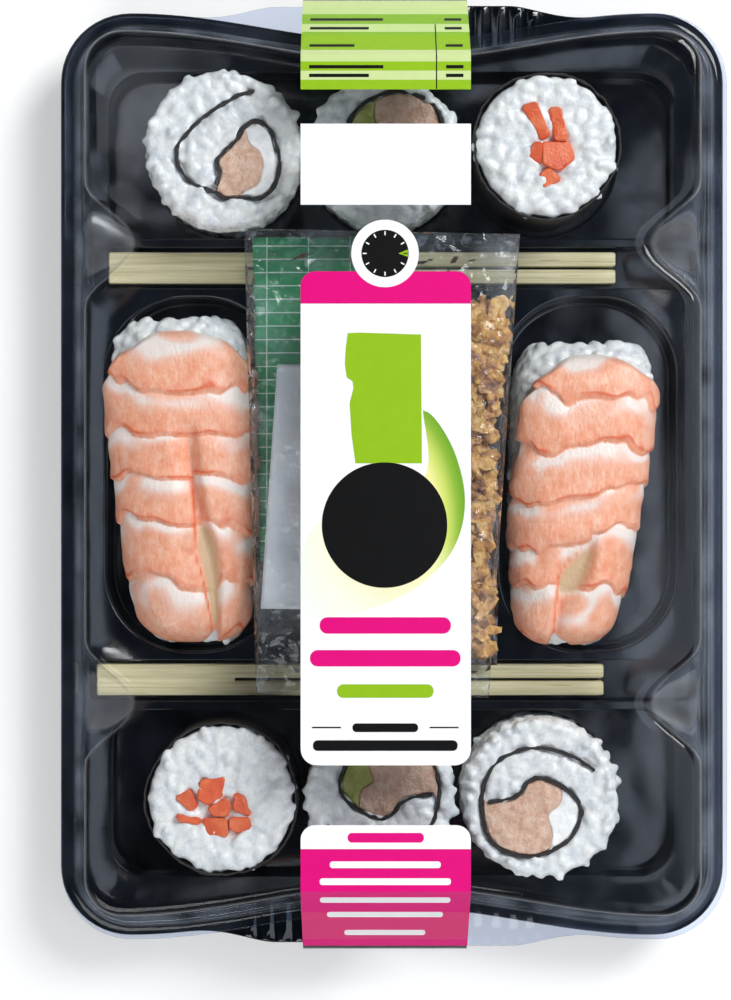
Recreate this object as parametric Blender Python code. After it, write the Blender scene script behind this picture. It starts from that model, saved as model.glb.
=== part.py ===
"""A shut takeaway sushi pack: a black thermoformed tray under a clear fluted lid, closed by one printed
film band. It holds six rolls, two prawn nigiri, two pairs of chopsticks and three sachets.

The origin is the middle of the pack's footprint, on the surface it stands on. +Y runs along the pack,
+X across it and +Z is up. Sizes below are in millimetres and become metres in add_solid.
"""

import bmesh
import bpy
from math import cos, hypot, pi, radians, sin
from mathutils import Vector
from mathutils.geometry import delaunay_2d_cdt

MM = 0.001
GAP = 0.3  # clearance between pieces that touch

# The rim's plan: straight sides, round corners, and ends that dip between their two lobes.
HALF_WIDTH = 71.4
HALF_LENGTH = 99.4
CORNER = 15.0
END_DIP = 6.0
TAB_REACH = 101.0  # how far the ribbed pull tabs reach from the middle
LOBE_X = HALF_WIDTH - CORNER
LOBE_Y = HALF_LENGTH - CORNER

# Tray
TRAY_WALL = 0.5
RIM_Z = 14.0
SKIRT_Z = 12.0
DECK_Z = 10.0
FLANGE = 3.4
TROUGH_Z = 2.6
FLOOR_Z = TRAY_WALL
ROW_Y = 69.0  # the rows of rolls
ROLL_PITCH = 34.3
SCALLOP = 17.5
CHANNEL_Y = 44.8
CHANNEL_Z = 4.6
NIGIRI_X = 42.9

# Lid
LID_WALL = 0.5
LID_RIM_Z = 15.0
LID_TOP_Z = 33.0
LID_OVERHANG = 0.7
FLUTE_DEPTH = 11.0
FLUTE_REACH = 13.0
FLUTE_Y = 47.8

# Band
BAND_HALF = 17.7
BAND_X = -1.5  # it sits a little off the middle
BAND_THICK = 0.25

# Food
ROLL_BASE = FLOOR_Z + GAP
ROLL_TOP = 21.0
NORI = 0.8

MATERIALS = {}


# ---------------------------------------------------------------- helpers


def material(name, colour, roughness, alpha=1.0):
    """One Principled finish, made the first time its name is asked for."""
    if name not in MATERIALS:
        made = bpy.data.materials.new(name)
        made.use_nodes = True
        shader = made.node_tree.nodes["Principled BSDF"]
        shader.inputs["Base Color"].default_value = (*colour, 1.0)
        shader.inputs["Roughness"].default_value = roughness
        shader.inputs["Metallic"].default_value = 0.0
        shader.inputs["Alpha"].default_value = alpha
        MATERIALS[name] = made
    return MATERIALS[name]


def add_solid(name, points, faces, finish):
    """A named object from points in millimetres, its faces turned outwards."""
    mesh = bpy.data.meshes.new(name)
    mesh.from_pydata([Vector(p) * MM for p in points], [], faces)
    work = bmesh.new()
    work.from_mesh(mesh)
    bmesh.ops.remove_doubles(work, verts=work.verts, dist=1e-6)
    bmesh.ops.recalc_face_normals(work, faces=work.faces)
    work.to_mesh(mesh)
    work.free()
    mesh.materials.append(finish)
    made = bpy.data.objects.new(name, mesh)
    bpy.context.scene.collection.objects.link(made)
    mesh.shade_smooth()
    mesh.set_sharp_from_angle(angle=radians(35))
    return made


def add_shell(name, shell, finish, thickness, base=0.0):
    """A sheet of even thickness, formed with its shown side up and grown downwards as far as base."""
    made = add_solid(name, shell.points, shell.faces, finish)
    up = sum(face.normal.z * face.area for face in made.data.polygons)
    if up < 0:
        made.data.flip_normals()
    wall = made.modifiers.new("wall", "SOLIDIFY")
    wall.thickness = thickness * MM
    wall.offset = -1.0
    wall.use_even_offset = True
    graph = bpy.context.evaluated_depsgraph_get()
    formed = bpy.data.meshes.new_from_object(made.evaluated_get(graph))
    made.modifiers.clear()
    for corner in formed.vertices:
        corner.co.z = max(corner.co.z, base * MM)
    made.data = formed
    return made


def inside(point, loop):
    """True if the plan point lies within the closed loop."""
    x, y = point
    found = False
    for (ax, ay), (bx, by) in zip(loop, loop[1:] + loop[:1]):
        if (ay > y) != (by > y) and x < (bx - ax) * (y - ay) / (by - ay) + ax:
            found = not found
    return found


def fill(loops):
    """Triangles over the first plan loop, leaving out the holes that the others bound.
    Corners are numbered through the loops in turn."""
    flat = [p for loop in loops for p in loop]
    edges, start = [], 0
    for loop in loops:
        count = len(loop)
        edges += [(start + i, start + (i + 1) % count) for i in range(count)]
        start += count
    points, _, triangles, origins, _, _ = delaunay_2d_cdt(
        [Vector(p) for p in flat], edges, [], 1, 1e-5
    )
    kept = []
    for triangle in triangles:
        middle = sum((points[i] for i in triangle), Vector((0, 0))) / 3
        if inside(middle, loops[0]) and not any(inside(middle, h) for h in loops[1:]):
            kept.append([origins[i][0] for i in triangle])
    return kept


class Shell:
    """A sheet put together from level loops of points."""

    def __init__(self):
        self.points = []
        self.faces = []

    def loop(self, plan, z):
        """Adds a loop at one height, or at a height for each point, and returns its numbers."""
        heights = z if isinstance(z, list) else [z] * len(plan)
        start = len(self.points)
        self.points += [(x, y, h) for (x, y), h in zip(plan, heights)]
        return list(range(start, len(self.points)))

    def bridge(self, a, b):
        """Four-sided faces between two loops of the same count."""
        for i, j in enumerate(range(1, len(a) + 1)):
            j %= len(a)
            self.faces.append((a[i], a[j], b[j], b[i]))

    def cover(self, *loops):
        """A level floor over the first loop, open where the other loops are."""
        numbers = [i for loop in loops for i in loop]
        plans = [[self.points[i][:2] for i in loop] for loop in loops]
        self.faces += [tuple(numbers[i] for i in t) for t in fill(plans)]


def prism(name, outline, low, high, finish, holes=()):
    """An upright solid over a plan outline, with upright holes through it."""
    loops = [list(outline), *map(list, holes)]
    flat = [p for loop in loops for p in loop]
    count = len(flat)
    points = [(x, y, low) for x, y in flat] + [(x, y, high) for x, y in flat]
    caps = fill(loops)
    faces = [tuple(reversed(t)) for t in caps]
    faces += [tuple(i + count for i in t) for t in caps]
    start = 0
    for loop in loops:
        n = len(loop)
        for i in range(n):
            a, b = start + i, start + (i + 1) % n
            faces.append((a, b, b + count, a + count))
        start += n
    return add_solid(name, points, faces, finish)


def loft(name, sections, finish):
    """A closed solid through rings of points of the same count, capped at both ends."""
    count = len(sections[0])
    points = [p for ring in sections for p in ring]
    faces = [tuple(range(count)), tuple(range(len(points) - count, len(points)))]
    for k in range(len(sections) - 1):
        for i in range(count):
            a, b = k * count + i, k * count + (i + 1) % count
            faces.append((a, b, b + count, a + count))
    return add_solid(name, points, faces, finish)


def ease(low, high, x):
    """0 below low, 1 above high, and a smooth step between."""
    t = min(max((x - low) / (high - low), 0.0), 1.0)
    return t * t * (3 - 2 * t)


def moved(plan, x=0.0, y=0.0, turn=0.0):
    """A plan turned about its origin by turn degrees, then shifted."""
    c, s = cos(radians(turn)), sin(radians(turn))
    return [(px * c - py * s + x, px * s + py * c + y) for px, py in plan]


def circle(radius, count, wobble=0.0, phase=0.0):
    """A round plan whose radius swells and shrinks a little, as pressed rice does."""
    made = []
    for k in range(count):
        a = 2 * pi * k / count
        r = radius + wobble * (sin(3 * a + phase) + 0.6 * sin(5 * a + 2.1 * phase))
        made.append((r * cos(a), r * sin(a)))
    return made


def rounded_box(half_x, half_y, radius, steps=3):
    """A plan rectangle with round corners, anticlockwise from the right."""
    made = []
    for quarter, (sx, sy) in enumerate(((1, 1), (-1, 1), (-1, -1), (1, -1))):
        for k in range(steps + 1):
            a = (quarter + k / steps) * pi / 2
            x = sx * (half_x - radius) + radius * cos(a)
            y = sy * (half_y - radius) + radius * sin(a)
            made.append((x, y))
    return made


# ---------------------------------------------------------------- rim outline


def tab_share(x):
    """How much of the pull tab there is at this place along an end, from 0 to 1."""
    return ease(-6.0, 2.0, x) * (1 - ease(25.0, 44.0, x))


def rim_plan(inset, side_stations, tab=0, corner_steps=5, end_steps=11):
    """The rim's plan moved inwards by inset. tab is +1 for pull tabs at the far right and near left, -1
    for the mirror of that and 0 for none. side_stations are the places along a side, from +Y to -Y."""

    def end_y(x):
        dip = END_DIP * (0.5 + 0.5 * cos(pi * x / LOBE_X))
        return HALF_LENGTH - inset - dip

    radius = CORNER - inset
    half = []
    for k in range(end_steps):
        x = LOBE_X - 2 * LOBE_X * k / end_steps
        y = end_y(x)
        if tab:
            y += tab_share(tab * x) * (TAB_REACH - y)
        half.append((x, y))
    for k in range(corner_steps):
        a = pi / 2 * (1 + k / corner_steps)
        half.append((-LOBE_X + radius * cos(a), LOBE_Y + radius * sin(a)))
    half += [(-LOBE_X - radius, y) for y in side_stations[:-1]]
    for k in range(corner_steps):
        a = pi + pi / 2 * k / corner_steps
        half.append((-LOBE_X + radius * cos(a), -LOBE_Y + radius * sin(a)))
    return half + [(-x, -y) for x, y in half]


# ---------------------------------------------------------------- tray


def scalloped_plan(radius):
    """Three rounds in a row, open to each other, for the recess that three rolls stand in."""
    cusp = radians(22)
    spans = (
        (ROLL_PITCH, cusp - pi, pi - cusp, 20),
        (0.0, cusp, pi - cusp, 8),
        (-ROLL_PITCH, cusp, 2 * pi - cusp, 20),
        (0.0, pi + cusp, 2 * pi - cusp, 8),
    )
    made = []
    for x, start, end, steps in spans:
        for k in range(steps + 1):
            a = start + (end - start) * k / steps
            made.append((x + radius * cos(a), radius * sin(a)))
    return made


def make_tray(finish):
    sides = [LOBE_Y, 0.0, -LOBE_Y]
    shell = Shell()
    skirt = shell.loop(rim_plan(0.0, sides, tab=1), SKIRT_Z)
    edge = shell.loop(rim_plan(0.0, sides, tab=1), RIM_Z)
    inner = shell.loop(rim_plan(FLANGE, sides), RIM_Z)
    foot = shell.loop(rim_plan(FLANGE + 0.9, sides), DECK_Z)
    shell.bridge(skirt, edge)
    shell.bridge(edge, inner)
    shell.bridge(inner, foot)

    openings = []
    for side, x in ((1, -1.5), (-1, -2.4)):
        y = side * (ROW_Y + 0.2)
        turn = 0 if side > 0 else 180
        top = shell.loop(moved(rounded_box(62.0, 18.2, 8.0), 0, y, turn), DECK_Z)
        low = shell.loop(moved(rounded_box(61.5, 17.8, 7.6), 0, y, turn), TROUGH_Z)
        shell.bridge(top, low)
        lip = shell.loop(moved(scalloped_plan(SCALLOP), x, side * ROW_Y), TROUGH_Z)
        floor = shell.loop(moved(scalloped_plan(SCALLOP - 0.1), x, side * ROW_Y), FLOOR_Z)
        shell.cover(low, lip)
        shell.bridge(lip, floor)
        shell.cover(floor)
        openings.append(top)
    for side in (1, -1):
        y = side * CHANNEL_Y
        top = shell.loop(moved(rounded_box(66.0, 4.4, 1.5, 1), 0, y), DECK_Z)
        low = shell.loop(moved(rounded_box(65.8, 4.2, 1.3, 1), 0, y), CHANNEL_Z)
        shell.bridge(top, low)
        shell.cover(low)
        openings.append(top)
    for side in (1, -1):
        x = side * NIGIRI_X
        top = shell.loop(moved(rounded_box(19.4, 38.8, 14.0, 5), x), DECK_Z)
        low = shell.loop(moved(rounded_box(18.6, 38.0, 13.2, 5), x), FLOOR_Z)
        shell.bridge(top, low)
        shell.cover(low)
        openings.append(top)
    shell.cover(foot, *openings)
    return add_shell("tray", shell, finish, TRAY_WALL)


# ---------------------------------------------------------------- lid


def fluted(plan, depth):
    """The lid's sides drawn in to a rounded flute beside each chopstick channel."""
    made = []
    for x, y in plan:
        near = abs(abs(y) - FLUTE_Y) / FLUTE_REACH
        draw = depth * (0.5 + 0.5 * cos(pi * near)) if near < 1 else 0.0
        if abs(x) > LOBE_X:
            x -= draw if x > 0 else -draw
        made.append((x, y))
    return made


def make_lid(finish):
    half = [LOBE_Y, 72.0] + [FLUTE_Y + FLUTE_REACH * (4 - k) / 4 for k in range(9)]
    sides = half + [0.0] + [-y for y in reversed(half)]
    shell = Shell()
    edge = shell.loop(rim_plan(-LID_OVERHANG, sides, tab=-1), LID_RIM_Z)
    flat = shell.loop(rim_plan(2.4, sides), LID_RIM_Z)
    bead = shell.loop(rim_plan(3.6, sides), LID_RIM_Z + 1.8)
    wall = shell.loop(fluted(rim_plan(4.8, sides), 0.5), LID_RIM_Z + 1.4)
    shoulder = shell.loop(fluted(rim_plan(7.2, sides), FLUTE_DEPTH - 1.0), LID_TOP_Z - 2.2)
    top = shell.loop(fluted(rim_plan(8.6, sides), FLUTE_DEPTH), LID_TOP_Z)
    for a, b in ((edge, flat), (flat, bead), (bead, wall), (wall, shoulder), (shoulder, top)):
        shell.bridge(a, b)
    shell.cover(top)
    return add_shell("lid", shell, finish, LID_WALL)


# ---------------------------------------------------------------- band


def make_band(finish):
    """The printed film: over the lid, round both pull tabs and down the tray's end walls."""
    edge = TAB_REACH + LID_OVERHANG + GAP
    half = [
        (88.3, 3.0),
        (88.8, 8.4),
        (edge - 0.6, SKIRT_Z - 0.8),
        (edge, SKIRT_Z - 0.2),
        (edge, LID_RIM_Z + GAP),
        (88.5, LID_TOP_Z - 2.0),
        (86.8, LID_TOP_Z + GAP),
    ]
    inner = half + [(-y, z) for y, z in reversed(half)]
    outer = []
    for k, (y, z) in enumerate(inner):
        before = Vector(inner[max(k - 1, 0)])
        after = Vector(inner[min(k + 1, len(inner) - 1)])
        along = (after - before).normalized()
        away = Vector((along.y, -along.x)) * BAND_THICK
        outer.append((y + away.x, z + away.y))
    ring = inner + outer[::-1]
    sections = [[(x, y, z) for y, z in ring] for x in (BAND_X - BAND_HALF, BAND_X + BAND_HALF)]
    return loft("band", sections, finish)


# ---------------------------------------------------------------- rolls


def curve_through(points, per_span=2):
    """A smooth open line through the given points."""
    made = []
    for k in range(len(points) - 1):
        p0, p1 = Vector(points[max(k - 1, 0)]), Vector(points[k])
        p2, p3 = Vector(points[k + 1]), Vector(points[min(k + 2, len(points) - 1)])
        for j in range(per_span):
            t = j / per_span
            made.append(
                0.5
                * (
                    2 * p1
                    + (p2 - p0) * t
                    + (2 * p0 - 5 * p1 + 4 * p2 - p3) * t**2
                    + (3 * p1 - p0 - 3 * p2 + p3) * t**3
                )
            )
    made.append(Vector(points[-1]))
    return made


def beside(line, distance):
    """The line moved sideways, to its left where distance is positive."""
    made = []
    for k, p in enumerate(line):
        along = line[min(k + 1, len(line) - 1)] - line[max(k - 1, 0)]
        along.normalize()
        made.append((p.x - along.y * distance, p.y + along.x * distance))
    return made


# The seaweed sheet's line through a rolled piece, from its inner end round the filling and over the top.
WIDE_SPIRAL = [
    (-11.1, -0.8), (-7.6, -0.4), (-4.6, 0.8), (-2.9, 3.2), (0.2, 4.3), (4.9, 2.3), (8.1, -0.9),
    (8.5, -4.1), (6.1, -8.8), (1.4, -11.7), (-3.6, -12.5), (-9.1, -10.7), (-11.6, -7.4), (-12.6, -3.0),
    (-12.4, 1.1), (-10.8, 5.9), (-7.9, 8.7), (-4.0, 10.3), (1.4, 10.5), (7.2, 8.6), (11.4, 5.8),
]
WIDE_CLOSE = 14  # the point where the sheet passes its own inner end
HOOKED_SPIRAL = [
    (-1.7, -7.6), (-0.9, -5.2), (-1.5, -2.6), (0.2, -0.4), (2.9, 2.2), (4.3, 4.6), (7.2, 6.0),
    (10.0, 4.0), (11.2, 0.6), (11.9, -3.4), (10.7, -8.0), (7.6, -10.5), (3.8, -10.4), (0.4, -10.6),
    (-2.4, -9.0), (-5.2, -8.0), (-8.0, -6.0), (-9.8, -3.0), (-9.8, 0.6), (-7.6, 3.4), (-5.2, 6.0),
    (-2.6, 8.0), (0.2, 9.8), (3.2, 11.4), (6.5, 12.3),
]
HOOKED_CLOSE = 14


def make_inside_out_roll(name, x, y, spiral, close, cut, turn, radius, finishes, second):
    """Rice outside, one spiral of seaweed, and salmon with a second filling inside it. cut gives the two
    places on the seaweed's line where the line between the fillings starts and ends."""
    line = curve_through(spiral)
    first = close * 2

    def placed(plan):
        return moved(plan, x, y, turn)

    skin = NORI / 2 + GAP
    hole = beside(line, skin) + beside(line, -skin)[: first - 1 : -1]
    rice = placed(circle(radius, 28, 0.18, len(name)))
    prism(f"{name}_rice", rice, ROLL_BASE, ROLL_TOP, finishes["rice"], [placed(hole)])
    sheet = beside(line, NORI / 2) + beside(line, -NORI / 2)[::-1]
    prism(f"{name}_nori", placed(sheet), ROLL_BASE, ROLL_TOP - 0.1, finishes["nori"])

    core = beside(line, -skin)[:first]
    start, end = cut
    rest = core[end:] + core[:start]
    divide = Vector(core[start]) - Vector(core[end])
    side = Vector((-divide.y, divide.x)).normalized() * GAP / 2
    part = core[start : end + 1]
    part[0] = tuple(Vector(part[0]) - side)
    part[-1] = tuple(Vector(part[-1]) - side)
    if (Vector(part[len(part) // 2]) - Vector(core[start])).dot(side) > 0:
        part[0] = tuple(Vector(part[0]) + 2 * side)
        part[-1] = tuple(Vector(part[-1]) + 2 * side)
        side = -side
    other = [tuple(Vector(core[end]) + side), *rest[1:], tuple(Vector(core[start]) + side)]
    prism(f"{name}_{second}", placed(part), ROLL_BASE, ROLL_TOP - 0.2, finishes[second])
    prism(f"{name}_salmon", placed(other), ROLL_BASE, ROLL_TOP - 0.1, finishes["salmon"])


# Cut ends of the carrot sticks in the two thin rolls, about each roll's middle.
CARROTS_FAR = [
    [(-5.2, 8.2), (-2.4, 9.0), (0.5, 2.1), (-1.2, 1.3)],
    [(0.6, 7.8), (2.8, 7.8), (4.3, 1.1), (1.7, 1.1)],
    [(-0.8, 0.5), (4.7, 0.6), (5.8, -2.8), (2.7, -5.3), (-0.8, -4.0)],
    [(-4.5, -2.8), (-2.6, 0.5), (-1.2, 0.4), (-1.2, -3.9)],
    [(-1.5, -6.3), (0.4, -5.0), (2.9, -7.2), (-0.6, -9.1)],
]
CARROTS_NEAR = [
    [(-4.4, 4.0), (0.5, 4.5), (-0.1, 0.6), (-2.9, -1.0), (-5.0, 0.3)],
    [(-9.7, 0.5), (-6.8, 1.9), (-5.3, -1.6), (-6.8, -2.3)],
    [(-2.9, -1.9), (0.5, 0.1), (1.9, -1.1), (1.2, -3.4), (-1.9, -3.3)],
    [(2.9, 1.3), (4.9, 0.3), (6.1, -3.3), (2.6, -2.1)],
    [(-3.9, -4.2), (0.9, -4.3), (1.2, -7.7), (-2.9, -7.4)],
    [(1.9, -4.0), (5.8, -4.0), (6.1, -6.0), (3.4, -7.0), (1.7, -6.0)],
    [(-9.7, -3.3), (-4.6, -4.2), (-4.6, -5.1), (-8.8, -4.6)],
]


def hull(points):
    """The convex plan round some points, anticlockwise."""
    ordered = sorted(points)
    made = []
    for run in (ordered, ordered[::-1]):
        part = []
        for p in run:
            while len(part) > 1:
                (ax, ay), (bx, by) = part[-2], part[-1]
                if (bx - ax) * (p[1] - ay) - (by - ay) * (p[0] - ax) > 0:
                    break
                part.pop()
            part.append(p)
        made += part[:-1]
    return made


def grown(plan, by):
    """A convex plan moved outwards from its middle."""
    cx = sum(p[0] for p in plan) / len(plan)
    cy = sum(p[1] for p in plan) / len(plan)
    made = []
    for px, py in plan:
        reach = hypot(px - cx, py - cy)
        made.append((px + (px - cx) / reach * by, py + (py - cy) / reach * by))
    return made


def make_thin_roll(name, x, y, radius, carrots, finishes):
    """Seaweed outside, rice within it and carrot sticks in a gap along the middle."""
    wrap = circle(radius, 28)
    bore = circle(radius - NORI, 28)
    prism(f"{name}_nori", moved(wrap, x, y), ROLL_BASE, ROLL_TOP - 0.6, finishes["nori"], [moved(bore, x, y)])
    rice = circle(radius - NORI - GAP, 28)
    gap = grown(hull([p for stick in carrots for p in stick]), 2 * GAP)
    prism(f"{name}_rice", moved(rice, x, y), ROLL_BASE, ROLL_TOP, finishes["rice"], [moved(gap, x, y)])
    for k, stick in enumerate(carrots):
        top = ROLL_TOP - 0.3 - 0.4 * (k % 3)
        prism(f"{name}_carrot_{k + 1}", moved(stick, x, y), ROLL_BASE, top, finishes["carrot"])


# ---------------------------------------------------------------- nigiri


def arch(width, low, high, lean, steps, start=0.0, end=pi):
    """Points over a rounded block's top, from its right side to its left, in the XZ plane."""
    made = []
    for k in range(steps + 1):
        a = start + (end - start) * k / steps
        c, s = cos(a), sin(a)
        x = width * (abs(c) ** 0.62) * (1 if c > 0 else -1)
        made.append((x + lean, low + (high - low) * abs(s) ** 0.7))
    return made


def make_nigiri(name, x, lean, far, near, far_half, near_half, finishes):
    """A hand-pressed block of rice, and a butterflied prawn laid over it with its tail to the near end.
    lean is how far the near end lies across from the far end."""
    stations = 9
    rice_sections, prawn_sections = [], []
    for k in range(stations):
        t = k / (stations - 1)
        y = far + (near - far) * t
        taper = far_half + (near_half - far_half) * t
        swell = (1 - abs(2 * t - 1) ** 3.2) ** 0.42 if 0 < t < 1 else 0.0
        half = taper * (0.5 + 0.5 * swell)
        top = ROLL_BASE + 15.5 * (0.55 + 0.45 * swell)
        middle = x + lean * (t - 0.5)
        ring = arch(half, ROLL_BASE + 4, top, middle, 10)
        foot = 0.86 * half
        ring += [(middle - foot, ROLL_BASE), (middle + foot, ROLL_BASE)]
        rice_sections.append([(px, y, pz) for px, pz in ring])
    loft(f"{name}_rice", rice_sections, finishes["rice"])

    reach = far - near
    for k in range(stations):
        t = 0.09 + 0.87 * k / (stations - 1)
        y = far - reach * t
        taper = far_half + (near_half - far_half) * t
        swell = (1 - abs(2 * t - 1) ** 3.2) ** 0.42
        half = taper * (0.5 + 0.5 * swell)
        top = ROLL_BASE + 15.5 * (0.55 + 0.45 * swell)
        body = 0.55 + 0.45 * sin(pi * min(1.0, 0.18 + 0.82 * t))
        thick = 5.2 * body
        middle = x + lean * (t - 0.5)
        reach_out = half + 0.9 + thick * 0.42
        inner = arch(half + 0.9, ROLL_BASE + 4, top + 0.9, middle, 8, 0.30, pi - 0.30)
        outer = arch(reach_out, ROLL_BASE + 4, top + 0.9 + thick, middle, 8, 0.34, pi - 0.34)
        ring = outer + inner[::-1]
        prawn_sections.append([(px, y, pz) for px, pz in ring])
    loft(f"{name}_prawn", prawn_sections, finishes["prawn"])


# ---------------------------------------------------------------- chopsticks and sachets


def make_chopsticks(name, left, y, finish):
    """One bamboo slat, split from its right end into two sticks that still join at the left."""
    length, half, slot, joined = 110.3, 3.5, 0.22, 30.0
    near_end, thick = 0.5, 4.2
    right = left + length
    outline = [
        (left, y - half), (right - 6.0, y - half), (right, y - half + near_end), (right, y - slot),
        (left + joined, y - slot), (left + joined, y + slot), (right, y + slot),
        (right, y + half - near_end), (right - 6.0, y + half), (left, y + half),
    ]
    base = CHANNEL_Z + GAP
    return prism(name, outline, base, base + thick, finish)


def make_sachet(name, x, y, far_half, near_half, half_y, low, high, turn, seal, finish):
    """A pillow of film with flat seals at its two short ends."""
    middle = (low + high) / 2
    stations = 7
    sections = []
    for k in range(stations):
        v = -1 + 2 * k / (stations - 1)
        along = v * half_y
        half_x = near_half + (far_half - near_half) * (v + 1) / 2
        fill_share = max(0.0, 1 - (abs(along) / (half_y - seal)) ** 4) ** 0.5
        rise = 0.25 + ((high - low) / 2 - 0.25) * fill_share
        ring = []
        steps = 6
        for j in range(steps + 1):
            u = 1 - 2 * j / steps
            ring.append((u * half_x, middle + max(0.12, rise * (1 - u**4) ** 0.5)))
        for j in range(steps + 1):
            u = -1 + 2 * j / steps
            ring.append((u * half_x, middle - max(0.12, rise * (1 - u**4) ** 0.5)))
        section = []
        for px, pz in ring:
            (qx, qy), = moved([(px, along)], x, y, turn)
            section.append((qx, qy, pz))
        sections.append(section)
    return loft(name, sections, finish)


# ---------------------------------------------------------------- assembly


def main():
    for old in list(bpy.data.objects):
        bpy.data.objects.remove(old)

    black = material("black_styrene", (0.012, 0.014, 0.018), 0.12)
    clear = material("clear_pet", (0.85, 0.88, 0.9), 0.05, 0.25)
    print_film = material("printed_film", (0.9, 0.9, 0.9), 0.25)
    bamboo = material("bamboo", (0.75, 0.68, 0.42), 0.55)
    finishes = {
        "rice": material("cooked_rice", (0.82, 0.82, 0.78), 0.4),
        "nori": material("seaweed", (0.02, 0.025, 0.02), 0.6),
        "salmon": material("salmon", (0.78, 0.42, 0.3), 0.4),
        "cheese": material("cream_cheese", (0.9, 0.9, 0.88), 0.5),
        "avocado": material("avocado", (0.5, 0.55, 0.15), 0.5),
        "carrot": material("carrot", (0.85, 0.2, 0.06), 0.45),
        "prawn": material("cooked_prawn", (0.88, 0.42, 0.26), 0.35),
    }

    make_tray(black)
    make_lid(clear)
    make_band(print_film)

    cheese_cut, avocado_cut, hooked_cut = (10, 19), (10, 19), (11, 26)
    make_inside_out_roll(
        "roll_far_left", -35.9, 69.1, HOOKED_SPIRAL, HOOKED_CLOSE, hooked_cut, 0, 16.7, finishes, "cheese"
    )
    make_inside_out_roll(
        "roll_far_middle", -1.4, 68.8, WIDE_SPIRAL, WIDE_CLOSE, avocado_cut, 180, 16.2, finishes, "avocado"
    )
    make_thin_roll("roll_far_right", 32.9, 69.9, 15.9, CARROTS_FAR, finishes)
    make_thin_roll("roll_near_left", -36.3, -69.3, 16.5, CARROTS_NEAR, finishes)
    make_inside_out_roll(
        "roll_near_middle", -2.6, -69.1, WIDE_SPIRAL, WIDE_CLOSE, avocado_cut, 180, 15.9, finishes, "avocado"
    )
    make_inside_out_roll(
        "roll_near_right", 31.6, -69.0, WIDE_SPIRAL, WIDE_CLOSE, cheese_cut, 0, 16.8, finishes, "cheese"
    )

    make_nigiri("nigiri_left", -44.6, 4.4, 34.0, -36.4, 16.4, 11.4, finishes)
    make_nigiri("nigiri_right", 39.6, -5.0, 28.6, -37.0, 16.4, 9.6, finishes)

    make_chopsticks("chopsticks_far", -61.6, CHANNEL_Y + 0.1, bamboo)
    make_chopsticks("chopsticks_near", -64.2, -CHANNEL_Y + 0.1, bamboo)

    ginger = material("green_film", (0.02, 0.28, 0.12), 0.2)
    sauce = material("sauce_film", (0.05, 0.035, 0.03), 0.15)
    onion = material("fried_onion", (0.62, 0.4, 0.18), 0.5)
    make_sachet("sachet_green", -12.8, 16.2, 16.2, 11.6, 35.0, 10.3, 14.3, 0.0, 4.0, ginger)
    make_sachet("sachet_sauce", 11.2, -16.5, 9.8, 9.8, 24.6, 10.3, 15.0, -1.0, 4.0, sauce)
    make_sachet("onion_bag", -3.2, 2.2, 29.4, 24.8, 49.2, 16.8, 27.0, -1.2, 5.0, onion)


main()
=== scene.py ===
"""A shut takeaway sushi pack. Metres, +Z up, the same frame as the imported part."""

from math import atan2, cos, exp, hypot, pi, radians, sin, sqrt

import bmesh
import bpy
import numpy as np
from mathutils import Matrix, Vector, noise
from mathutils.geometry import delaunay_2d_cdt


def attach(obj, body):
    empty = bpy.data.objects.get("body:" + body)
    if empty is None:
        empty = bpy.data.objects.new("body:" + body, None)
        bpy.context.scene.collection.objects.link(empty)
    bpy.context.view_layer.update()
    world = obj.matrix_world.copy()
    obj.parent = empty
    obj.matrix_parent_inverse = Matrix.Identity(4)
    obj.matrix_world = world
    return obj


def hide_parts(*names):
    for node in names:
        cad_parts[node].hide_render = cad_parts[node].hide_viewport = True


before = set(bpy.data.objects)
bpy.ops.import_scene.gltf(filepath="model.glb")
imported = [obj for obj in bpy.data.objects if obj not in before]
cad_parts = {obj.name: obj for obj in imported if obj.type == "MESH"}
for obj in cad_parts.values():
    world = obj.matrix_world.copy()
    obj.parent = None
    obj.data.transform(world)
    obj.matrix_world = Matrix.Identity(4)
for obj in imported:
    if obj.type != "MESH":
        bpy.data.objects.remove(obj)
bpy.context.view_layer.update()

# ---------------------------------------------------------------- tray
# A sheet of black styrene drawn over a mould, so every edge is rounded and the gloss carries soft,
# slightly wavy reflections. Round wells hold the rolls, and two channels hold the chopsticks.

MM = 0.001


def linear(text):
    """A six-figure colour as linear red, green, blue and alpha."""
    parts = [int(text[i : i + 2], 16) / 255 for i in (0, 2, 4)]
    return (*[p / 12.92 if p <= 0.04045 else ((p + 0.055) / 1.055) ** 2.4 for p in parts], 1.0)


def add(tree, kind, inputs=None, stops=None, **settings):
    """Adds a shader node. inputs maps sockets to values, colours as text, nodes or other sockets."""
    made = tree.nodes.new("ShaderNode" + kind)
    for key, value in settings.items():
        setattr(made, key, value)
    for key, value in (inputs or {}).items():
        socket = made.inputs[key]
        if isinstance(value, bpy.types.Node):
            value = value.outputs[0]
        if isinstance(value, bpy.types.NodeSocket):
            tree.links.new(value, socket)
        else:
            socket.default_value = linear(value) if isinstance(value, str) else value
    if stops:
        ramp = made.color_ramp
        while len(ramp.elements) < len(stops):
            ramp.elements.new(0.5)
        for element, (place, shade) in zip(ramp.elements, stops):
            element.position = place
            element.color = linear(shade)
    return made


def blank(name):
    """A new material, its node tree emptied but for the output, and the output."""
    made = bpy.data.materials.new(name)
    made.use_nodes = True
    tree = made.node_tree
    tree.nodes.clear()
    return made, tree, tree.nodes.new("ShaderNodeOutputMaterial")


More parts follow.
